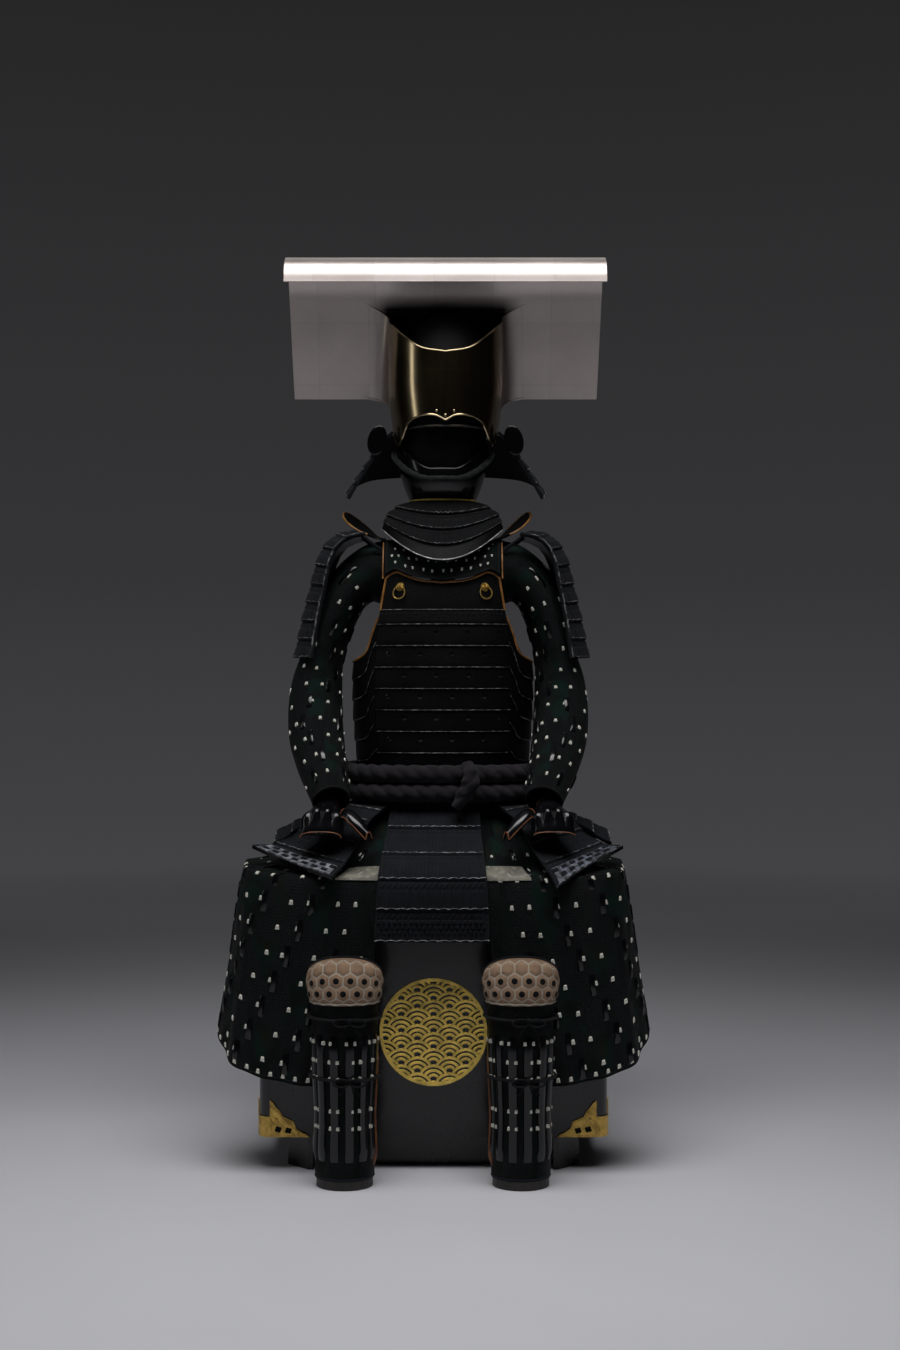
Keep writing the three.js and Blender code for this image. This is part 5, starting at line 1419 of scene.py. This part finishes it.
def shoulders():
    for side, word in SIDES.items():
        cut = Cut(strap(side), side)
        piece = Piece(BODY_SHIFT)
        wall(piece, cut, 17, 61, 33, STRAP["thick"])
        for edge in (0.02, 0.98):
            line_on(cut, edge, steps(80), 0.0, piece, 1.5, look=1)
        piece.wear(f"shoulder_strap_lacquered_{word}", [LEATHER_LACQUER, ORANGE], "lacquered_iron",
                   f"shoulder_strap_{word}")
        cut = Cut(wing(side), -side)
        piece = Piece(BODY_SHIFT)
        wall(piece, cut, 49, 25, 13, PLATE)
        line_on(cut, np.linspace(0.01, 0.99, 60), 0.995, -PLATE / 2, piece, 1.9, look=1)
        piece.wear(f"shoulder_wing_lacquered_{word}", [LEATHER_LACQUER, ORANGE], "lacquered_iron",
                   f"shoulder_wing_{word}")
        carried(f"ring_boss_{word}", GILT, 0.0003)
        carried(f"chest_ring_{word}", GILT, 0.0003)
    cut = Cut(collar, 1)
    piece = Piece(BODY_SHIFT)
    wall(piece, cut, 81, 25, 13, CLOTH - 0.5)
    cloth = piece.wear("collar_cloth", [SHADED_GREEN], "green_brocade", "collar")
    trim = Piece(BODY_SHIFT)
    u, v = border(50, 0.006)
    line_on(cut, u, v, -0.6, trim, 1.9, loop=True)
    region = (6, cut.width - 6, 14, cut.length - 6)
    corners = lattice(region, 17, 34, 8, first=6, width=5.0, height=6.0, apart=15)[0]
    plaques(trim, cut, corners, 0.9, look=1)
    trim = trim.wear("collar_trim", [TIE, BONE], "green_brocade")


ROPE_RADIUS = 15.4


def sash():
    piece = Piece(BODY_SHIFT)
    for z, clear in ((655, 3.6), (622, 3.2)):
        points = torso(np.linspace(0, 360, 421)[:-1], np.full(420, float(z)), ROPE_RADIUS + clear + 0.1)
        helix_rope(piece, points, ROPE_RADIUS, strands=3, lay=27.0, depth=0.2, sides=22, loop=True)
    piece.wear("sash_rope", [ROPE], "sash_rope", "sash_upper", "sash_lower")
    front = torso(9.0, 655.0, 32.1)
    knot = reader([
        (0, 4, 6, 672, 10), (0.3, 11, -5, 660, 14), (0.6, 10, -8, 638, 15), (0.85, -2, -4, 616, 13),
        (1, -14, -2, 598, 9),
    ])
    x, y, z, r = knot(steps(70))
    points = vec(front[0] + x, front[1] - 12 + y, z)
    piece = Piece(BODY_SHIFT)
    radius = r * (1 + 0.05 * np.sin(np.linspace(0, 26, 70)))
    helix_rope(piece, points, radius, strands=3, lay=27.0, depth=0.2, sides=30)
    piece.wear("sash_knot_rope", [ROPE], "sash_rope", "sash_knot")


def tassets():
    piece, cut, lames = laced_panel(tasset_front, -1, FRONT_TASSET_EDGES, rim=1.1)
    top, foot = lames.starts[-1], lames.ends[-1]
    t0, t1 = np.interp([top, foot], cut.at, cut.t)
    for row in range(3):
        s = np.arange(5.0 + (row % 2) * 4, cut.width - 4, 8.2)
        plaques(piece, cut, box_corners(s, t0 + 17 + row * 8.5, 6.0, 6.2), LAME_STEP + 2.4)
    piece.wear("tasset_front_laced", [LACING, PLATE_LACQUER, EDGE], "laced_plates", "tasset_front")

    hems = {LEFT: ((197, -302), 24), RIGHT: ((173, -300), 6)}
    five = even_edges(5)
    for side, word in SIDES.items():
        hem, drop = hems[side]
        surface = tasset(32, 60, hem, (315, -200), hump=18, lift=20, side=side, shift=ARM_SHIFT, drop=drop)
        piece, cut, lames = laced_panel(surface, -side, five)
        t0, t1 = np.interp([lames.starts[-1], lames.ends[-1]], cut.at, cut.t)
        rows = int((t1 - t0 - 14) / 12)
        # The right lap's strip gets the painted-light copy and the left lap's the painted-shade copy.
        bright = 3 if side == RIGHT else 4
        strip = box_corners(cut.width / 2, (t0 + 15 + t1 - 4) / 2, cut.width - 8, t1 - t0 - 18)
        plaques(piece, cut, strip, LAME_STEP + 2.2, columns=70, rows=10, rim=0.01, look=bright)
        for row in range(rows):
            s = np.arange(9.0 + (row % 2) * 7.5, cut.width - 8, 15.0)
            plaques(piece, cut, box_corners(s, t0 + 21 + row * 12.4, 11.6, 9.4), LAME_STEP + 3.6)
        materials = [LACING, PLATE_LACQUER, EDGE, LIT_LAP_STRIP, SHADED_LAP_STRIP]
        piece.wear(f"tasset_lap_laced_{word}", materials, "laced_plates", f"tasset_lap_{word}")
        coarse = {"fine": 2.4, "rib": 9.0, "twist": 12.0}
        surface = tasset(64, 112, (296, -96), (296, 84), over=9, side=side)
        piece = laced_panel(surface, -side, five, **coarse)[0]
        piece.wear(f"tasset_side_laced_{word}", [LACING, PLATE_LACQUER, EDGE], "laced_plates",
                   f"tasset_side_{word}")
        surface = tasset(116, 148, (250, 146), (112, 204), over=0, side=side)
        piece = laced_panel(surface, -side, five, **coarse)[0]
        piece.wear(f"tasset_rear_laced_{word}", [LACING, PLATE_LACQUER, EDGE], "laced_plates",
                   f"tasset_rear_{word}")
    surface = tasset(152, 208, (88, 216), (-88, 216), over=0)
    piece = laced_panel(surface, -1, five, **coarse)[0]
    piece.wear("tasset_back_laced", [LACING, PLATE_LACQUER, EDGE], "laced_plates", "tasset_back")


MARKS = {"rows": 43, "pairs": 68, "drift": 14}


def armoured_cloth(name, cut, node, region, columns, rows, loop=False):
    """Brocade with mail, dark splints and pale lacing ends, and a dark binding."""
    cloth = Piece(BODY_SHIFT)
    wall(cloth, cut, columns + 1, rows + 1, 25, CLOTH, loop=loop)
    obj = cloth.wear(name, [GREEN], "green_brocade", node)
    trim = Piece(BODY_SHIFT)
    corners, places = lattice(region, MARKS["rows"], MARKS["pairs"], MARKS["drift"])
    plaques(trim, cut, corners, 1.5, look=1)
    s, t = (places[::2] + np.array([MARKS["pairs"] / 2, 2.0])).T
    keep = (s < region[1] - 8) & (t > region[2]) & (t < region[3] - 8)
    plaques(trim, cut, box_corners(s[keep] + 4, t[keep], 9, 36), 1.5, look=2, dome=1.2)
    if loop:
        for v in (0.004, 0.996):
            tube(trim, cut.on(steps(80)[:-1], np.full(79, v), -CLOTH / 2), 2.3, loop=True)
    else:
        s = np.arange(region[0] + 8, region[1] - 6, 17.0)
        plaques(trim, cut, box_corners(s, region[3] - 9, 6.4, 8.0, 0.6), 1.5, look=1)
        u, v = border(70, 0.004)
        line_on(cut, u, v, -CLOTH / 2, trim, 2.3, loop=True)
    trimmed = trim.wear(f"{name}_armour", [TIE, BONE, PLATE_LACQUER], "green_brocade")


THIGH_BAND = (0.36, 0.49)


def thighs():
    for side, word in SIDES.items():
        cut = Cut(thigh_guard(side), -side)
        width, length = cut.width, cut.length
        start = np.interp(0.30, cut.at, cut.t)
        armoured_cloth(f"thigh_guard_cloth_{word}", cut, f"thigh_guard_{word}",
                       (4, width - 4, start, length), 120, 100)
        band = Cut(thigh_band(side), -side)
        piece = Piece(BODY_SHIFT)
        vs = np.linspace(*THIGH_BAND, 31)
        wall(piece, band, 41, vs, vs[::3], 0.0, 1.0)
        cloth = piece.wear(f"thigh_band_cloth_{word}", [PALE], "pale_brocade", f"thigh_band_{word}")


def arms():
    for side, word in SIDES.items():
        cut = Cut(sleeve(side), side)
        armoured_cloth(f"sleeve_cloth_{word}", cut, f"sleeve_{word}",
                       (2, cut.width - 2, 60, cut.length), 92, 96, loop=True)
        surface = shoulder_guard(side)
        piece, cut, lames = laced_panel(surface, -side, even_edges(GUARD["lames"]), fine=1.7, braid_row=11.0)
        v = lames.rows(6)
        for edge in (0.01, 0.99):
            line_on(cut, edge, v, LAME_STEP + 1.0, piece, 1.7, look=2, flat=0.8)
        for y in (-53, 53):
            x = side * np.linspace(STRAP["outer"] + 1.7, 150, 14)
            cord = vec(x, y, np.linspace(1048, 1079, 14))
            helix_rope(piece, cord, 3.0, strands=2, lay=14, depth=0.2, sides=10)
        piece.wear(f"shoulder_guard_laced_{word}", [LACING, PLATE_LACQUER, EDGE], "laced_plates",
                   f"shoulder_guard_{word}")
        piece = Piece(BODY_SHIFT)
        cut = Cut(hand_plate(side), -side)
        wall(piece, cut, 81, 61, 17, 2, knuckles)
        for v_at in (0.004, 0.996):
            line_on(cut, np.linspace(0.005, 0.995, 60), v_at, 0.0, piece, 1.3, look=1)
        cut = Cut(thumb_plate(side), -side)
        wall(piece, cut, 33, 33, 9, 2)
        u, v = border(24, 0.01)
        line_on(cut, u, v, -0.6, piece, 1.2, look=1, loop=True)
        piece.wear(f"hand_guard_lacquered_{word}", [PLATE_LACQUER, TAN], "lacquered_iron",
                   f"hand_guard_{word}")


# Shins and knees
HEX = {"across": 22.0, "high": 16.5, "rim": 0.93, "dot": 5.0}


def hex_cells(s, t):
    """Distance to the nearest edge of a honeycomb, as a share of a cell."""
    a, h = HEX["across"], HEX["high"]
    best = np.full(np.shape(s), 9.0)
    second = np.full(np.shape(s), 9.0)
    row = np.round(t / h)
    for step in (-1, 0, 1):
        shift = np.where((row + step) % 2 == 0, 0.0, a / 2)
        nearest = np.round((s - shift) / a)
        for over in (-1, 0, 1):
            x = (nearest + over) * a + shift
            far = np.hypot((s - x) / a, (t - (row + step) * h) / (h * 1.155))
            second = np.where(far < best, best, np.minimum(second, far))
            best = np.minimum(best, far)
    return second - best


def shins():
    for side, word in SIDES.items():
        cut = Cut(shin_guard(side), -1)
        width, length = cut.width, cut.length
        name = f"shin_guard_cloth_{word}"
        cloth = Piece()
        wall(cloth, cut, 97, 61, 9, CLOTH, loop=True)
        cloth = cloth.wear(name, [SHADED_GREEN], "green_brocade", f"shin_guard_{word}")
        trim = Piece()
        bars = np.arange(0.0, width, width / 12)
        middle = box_corners(bars + 10, 150, 15, 205)
        plaques(trim, cut, middle, 2.2, columns=6, rows=12, rim=0.08, look=2, dome=1.6)
        for t in (36, 66, 93, 145, 173):
            s = np.arange(2.0, width, width / 16)
            places = s + np.where(np.arange(len(s)) % 2, -3.0, 3.0)
            places = places + (10 if t > 50 else 0)
            plaques(trim, cut, box_corners(places, t + 24, 6.0, 7.2, 0.74), 3.9, look=1)
        u = steps(97)[:-1]
        for t, radius in ((22, 4.2), (118, 4.6)):
            v = np.full(96, t / length) + 0.004 * np.sin(2 * np.pi * u + 0.6)
            tube(trim, cut.on(u, v, 4.6), radius, loop=True, flat=0.6)
            front = cut.on(0.03, t / length, 6.5)
            for way in (-1, 1):
                turn = np.linspace(0, 2 * np.pi, 26)[:-1]
                across, out = way * (13 - 13 * np.cos(turn)), -2.0 - 3 * np.sin(turn / 2)
                bow = front + vec(across, out, 6 * np.sin(turn) - 3)
                tube(trim, bow, 2.4, loop=True, flat=0.7)
                end = steps(12)
                tail = front + vec(way * 17 * end, -2.0, -24 * end**1.2)
                tube(trim, tail, 2.3, flat=0.6)
            studs(trim, front + vec(0, -2, 0), vec(0, -1, 0), 4.6, 4.0)
        for v, look in ((0.004, 0), (0.992, 3)):
            tube(trim, cut.on(u, np.full(96, v), -CLOTH / 2), 2.5, loop=True, look=look)
        inner = 0.25 if side == LEFT else 0.75
        strip = box_corners(width * (1 - inner), 170, 26, 190)
        plaques(trim, cut, strip, 4.4, columns=8, rows=10, rim=0.08, look=4)
        trim = trim.wear(f"{name}_armour", [TIE, BONE, PLATE_LACQUER, NAVY, TAN], "green_brocade")

        cut = Cut(knee_guard(side), 1)

        def quilt(u, v, cut=cut):
            s, t = cut.st(u, v)
            room = np.clip((t - 3) / 6, 0, 1) * np.clip((cut.length * HEX["rim"] - t) / 6, 0, 1)
            return 2.2 * np.clip(hex_cells(s, t) / 0.5, 0, 1) ** 0.6 * room

        def look_of(u, v, cut=cut):
            s, t = cut.st(u, v)
            edge = (hex_cells(s, t) < 0.1) & (t < cut.length * HEX["rim"]) & (t > 3)
            return np.where(edge, 1, 0)

        knee = Piece()
        wall(knee, cut, 221, 91, 9, CLOTH + 1, quilt, look=look_of)
        places = []
        for row in range(1, int(cut.length / HEX["high"])):
            shift = 0.0 if row % 2 == 0 else HEX["across"] / 2
            for s in np.arange(shift, cut.width, HEX["across"]):
                if 8 < s < cut.width - 8 and row * HEX["high"] < cut.length * (HEX["rim"] - 0.06):
                    places.append((s, row * HEX["high"]))
        places = np.array(places)
        u, v = cut.uv(places[:, 0], places[:, 1])
        studs(knee, cut.on(u, v, 2.1), normals(cut.surface, u, v, 1), HEX["dot"], 1.3, look=2)
        u = steps(130)
        line_on(cut, u, 0.995, -1.5, knee, 2.6, look=3)
        scallop = np.abs(np.sin(np.pi * u * cut.width / HEX["across"]))
        line_on(cut, u, 0.02 + 0.025 * scallop, 0.6, knee, 1.6, look=1)
        for edge in (0.003, 0.997):
            line_on(cut, edge, steps(40), -1.5, knee, 2.4, look=3)
        knee = knee.wear(f"knee_guard_quilt_{word}", [KNEE_CLOTH, CREAM, TIE, TIE], "knee_quilt",
                         f"knee_guard_{word}")
        carried(f"shin_stand_{word}", WOOD, 0.001)
    carried("armour_stand", BOWL_LACQUER)


# Face guard, throat guard and chin cord
CHIN_CORD = 5.4


def face():
    cut = Cut(mask, 1)
    piece = Piece(BODY_SHIFT)
    wall(piece, cut, 121, 41, 13, PLATE)
    line_on(cut, steps(140), 0.996, -0.4, piece, 1.7, look=1, sides=8)
    line_on(cut, steps(140), 0.01, 0.6, piece, 2.0, look=2, sides=8)
    piece.wear("face_mask_lacquered", [PLATE_LACQUER, PLATE_LACQUER, GOLD], "lacquered_iron", "face_mask")

    piece, cut, lames = laced_panel(throat, -1, even_edges(4), fine=1.2, step=3.2, scallop=9.0, rim=0.6,
                                    braid_row=7.0, twist=6.0)
    t0, t1 = np.interp([lames.starts[-1] + 0.05, 0.985], cut.at, cut.t)
    s0, s1 = 0.06 * cut.width, 0.94 * cut.width
    corners = np.array([[(s0, t0), (s1, t0), (s1, t1), (s0, t1)]])
    plaques(piece, cut, corners, 3.2 + 1.9, columns=60, rows=8, rim=0.02, look=1)
    line_on(cut, np.linspace(0.02, 0.98, 120), 0.992, 4.6, piece, 1.1, look=3, sides=8)
    piece.wear("throat_guard_laced", [THROAT_LACING, LEATHER_LACQUER, EDGE, BRIGHT_EDGE], "laced_plates",
               "throat_guard")

    route = reader([(0, -92, 0.88), (0.3, -50, 0.68), (0.5, 0, 0.66), (0.7, 50, 0.68), (1, 92, 0.88)])
    turn, v = route(steps(150))
    u = (turn + MASK["half"]) / (2 * MASK["half"])
    piece = Piece(BODY_SHIFT)
    points = raised(mask, u, v, 1, CHIN_CORD + 0.9)
    helix_rope(piece, points, CHIN_CORD, strands=2, lay=17.0, depth=0.22, sides=20)
    piece.wear("chin_cord_twisted", [CHIN_CLOTH], "chin_cord", "chin_cord")


# Helmet
BOWL = {"foot": 1262, "top": 1476, "columns": 72, "levels": 30}
TURN_BACK = {"half": 17, "rise": 27, "x": 122, "y": -32.8, "z": 1246, "tilt": -14}


def helmet():
    def dome(piece, off, low, high, turned=False):
        z = low + (high - low) * np.sin(np.linspace(0, np.pi / 2, levels))
        a, zz = np.meshgrid(np.arange(count) * 360 / count, z, indexing="ij")
        faces = barrel_faces(count, levels)
        first = piece.count
        piece.add(bowl_ring(a, zz, off), faces[:, ::-1] if turned else faces)
        piece.cap(first + np.arange(count) * levels + levels - 1, turned)

    count, levels, foot, top = BOWL["columns"], BOWL["levels"], BOWL["foot"], BOWL["top"]
    piece = Piece(HELMET_SHIFT)
    dome(piece, 0, foot, top)
    dome(piece, -3, foot - 0.1, top - 10, turned=True)
    rim = bowl_ring(np.arange(0, 360, 3.0), np.full(120, 1263.0), -1.2)
    tube(piece, rim, 2.4, loop=True, look=1)
    piece.wear("helmet_bowl_lacquered", [BOWL_LACQUER, DARK_METAL], "helmet_bowl", "helmet_bowl")

    cut = Cut(crest, -1, 120)
    piece = Piece(HELMET_SHIFT)
    vs = np.concatenate([np.linspace(0, 0.6, 25), np.linspace(0.6, 1, 61)[1:]])
    wall(piece, cut, 81, vs, vs, LEAF)
    plate = piece.make("helmet_crest_leaf", [SILVER])
    tool = Piece(HELMET_SHIFT)
    heights = np.concatenate([[foot - 4], np.linspace(foot, top + 2, 40)])
    a, z = np.meshgrid(np.arange(96) * 3.75, heights, indexing="ij")
    clear = bowl_ring(a, np.clip(z, foot, top), 1.4)
    clear[..., 2] = z
    tool.add(clear, barrel_faces(96, len(heights)))
    for at, turned in ((0, True), (len(heights) - 1, False)):
        tool.cap(np.arange(96) * len(heights) + at, turned)
    tool = tool.make("arch", [SILVER])
    made = plate.modifiers.new("arch", "BOOLEAN")
    made.object = tool
    made.operation = "DIFFERENCE"
    made.solver = "EXACT"
    bpy.context.view_layer.objects.active = plate
    with bpy.context.temp_override(object=plate, active_object=plate, selected_objects=[plate]):
        bpy.ops.object.modifier_apply(modifier="arch")
    bpy.data.objects.remove(tool, do_unlink=True)
    wear(plate, "silver_leaf", "helmet_crest")

    front = Cut(bulge, -1, 160)
    piece = Piece(HELMET_SHIFT)
    # The bulge's inner side is near-black: painted shade.
    wall(piece, front, 161, 41, 13, LEAF, inner_look=2)
    for edge, radius in ((0.002, 1.6), (0.998, 2.2)):
        line_on(front, steps(260), edge, -0.8, piece, radius, look=1, sides=8)
    for u_at in (0.47, 0.5, 0.53):
        at = front.on(u_at, 0.93, 0.2)
        studs(piece, at, normals(bulge, np.array(u_at), np.array(0.93), -1), 2.6, 1.4, look=1)
    piece.wear("helmet_bulge", [BRONZED, BRONZED, BLACK], "silver_leaf")

    piece = laced_panel(neck_guard, -1, even_edges(5), fine=2.6, step=3.0, braid_row=9.0,
                        shift=HELMET_SHIFT)[0]
    piece.wear("neck_guard_laced", [LACING, BOWL_LACQUER, EDGE], "laced_plates", "neck_guard")
    for side, word in SIDES.items():
        turn = np.linspace(0, 2 * np.pi, 49)[:-1]
        profile = [(0.94, -3.0), (1.0, -2.4), (1.0, -0.6), (0.97, 0.0), (0.8, 0.4), (0.4, 0.6)]
        tilt = math.radians(TURN_BACK["tilt"]) * side
        rings = []
        for share, high in profile:
            x, z = TURN_BACK["half"] * share * np.cos(turn), TURN_BACK["rise"] * share * np.sin(turn)
            across = x * math.cos(tilt) + z * math.sin(tilt)
            up = z * math.cos(tilt) - x * math.sin(tilt)
            rings.append(vec(side * TURN_BACK["x"] + across, TURN_BACK["y"] - high, TURN_BACK["z"] + up))
        piece = Piece(HELMET_SHIFT)
        closed_rings(piece, rings)
        piece.wear(f"turn_back_plate_{word}", [PLATE_LACQUER], "lacquered_iron", f"turn_back_{word}")


# Camera, light and floor
CAMERA = {"x": 0.028, "y": -3.378, "z": 0.827, "lens": 51.04}


def camera():
    data = bpy.data.cameras.new("camera")
    data.lens = CAMERA["lens"]
    data.sensor_width = 36
    data.clip_end = 100
    obj = bpy.data.objects.new("camera", data)
    obj.location = (CAMERA["x"], CAMERA["y"], CAMERA["z"])
    obj.rotation_euler = (math.pi / 2, 0, 0)
    bpy.context.scene.collection.objects.link(obj)
    bpy.context.scene.camera = obj


def area_light(name, at, towards, width, height, power, spread=180):
    data = bpy.data.lights.new(name, "AREA")
    data.shape = "RECTANGLE"
    data.size, data.size_y, data.energy, data.spread = width, height, power, math.radians(spread)
    obj = bpy.data.objects.new(name, data)
    obj.location = at
    obj.rotation_euler = (Vector(towards) - Vector(at)).to_track_quat("-Z", "Y").to_euler()
    bpy.context.scene.collection.objects.link(obj)


def surroundings():
    area_light("overhead", (0.0, -0.95, 3.0), (0.0, -0.75, 0.0), 2.4, 1.3, 27, spread=105)
    area_light("left_strip", (-2.15, -0.75, 1.7), (0.1, 0, 1.25), 0.25, 1.8, 2.6)
    area_light("rim", (0.0, 1.6, 2.9), (0.0, 0.0, 1.2), 2.4, 0.5, 3)
    world = bpy.data.worlds.new("room")
    bpy.context.scene.world = world
    world.use_nodes = True
    world.node_tree.nodes["Background"].inputs["Color"].default_value = (0.02, 0.02, 0.021, 1)

    profile = reader([
        (0, 0.0, 0.0), (1, 1.5, 0.0), (2, 3.4, 0.0), (3, 4.2, 0.12), (4, 4.75, 0.6), (5, 4.95, 1.5),
        (6, 5.0, 3.0), (7, 5.0, 6.0),
    ])
    radius, height = profile(np.linspace(0, 7, 60))
    count = 96
    turn = 2 * np.pi * np.arange(count) / count
    points = vec(radius[:, None] * np.cos(turn), radius[:, None] * np.sin(turn), height[:, None] - 0.0005)
    mesh = bpy.data.meshes.new("surround")
    mesh.from_pydata(points.reshape(-1, 3).tolist(), [], ring_faces(60, count).tolist())
    mesh.shade_smooth()
    look = Look("surround", Roughness=0.6, Specular_IOR_Level=0.25)
    at = look.node("ShaderNodeNewGeometry").outputs["Position"]
    parts = look.node("ShaderNodeSeparateXYZ", Vector=at).outputs
    rise = look.ramp(parts["Z"], 0.0, 1.2)
    look.colour(look.mix(rise, (0.6, 0.6, 0.64), (0.03, 0.03, 0.031)))
    # Painted light: the far floor and the wall glow, brightest near the floor and dimmer higher up, fading in
    # from y = 1.8 m to 3.2 m.
    painted_backdrop_light = look.mix(look.ramp(parts["Z"], 0.2, 5.0), (0.040, 0.040, 0.0425), (0.0105, 0.0105, 0.0107))
    behind = look.maths("MULTIPLY", look.ramp(parts["Z"], -0.15, 0.09), look.ramp(parts["Y"], 1.8, 3.2))
    look.feed(look.shader.inputs["Emission Color"], look.mix(behind, (0.0, 0.0, 0.0), painted_backdrop_light))
    look.shader.inputs["Emission Strength"].default_value = 1.0
    look.rough(look.ramp(look.noise(at, 3, 3), 0.3, 0.7, 0.5, 0.62))
    mesh.materials.append(look.material)
    surround = bpy.data.objects.new("surround", mesh)
    bpy.context.scene.collection.objects.link(surround)
    bpy.context.scene.view_settings.view_transform = "Standard"


camera()
surroundings()
chest()
emblem()
cuirass()
shoulders()
sash()
tassets()
thighs()
arms()
shins()
face()
helmet()
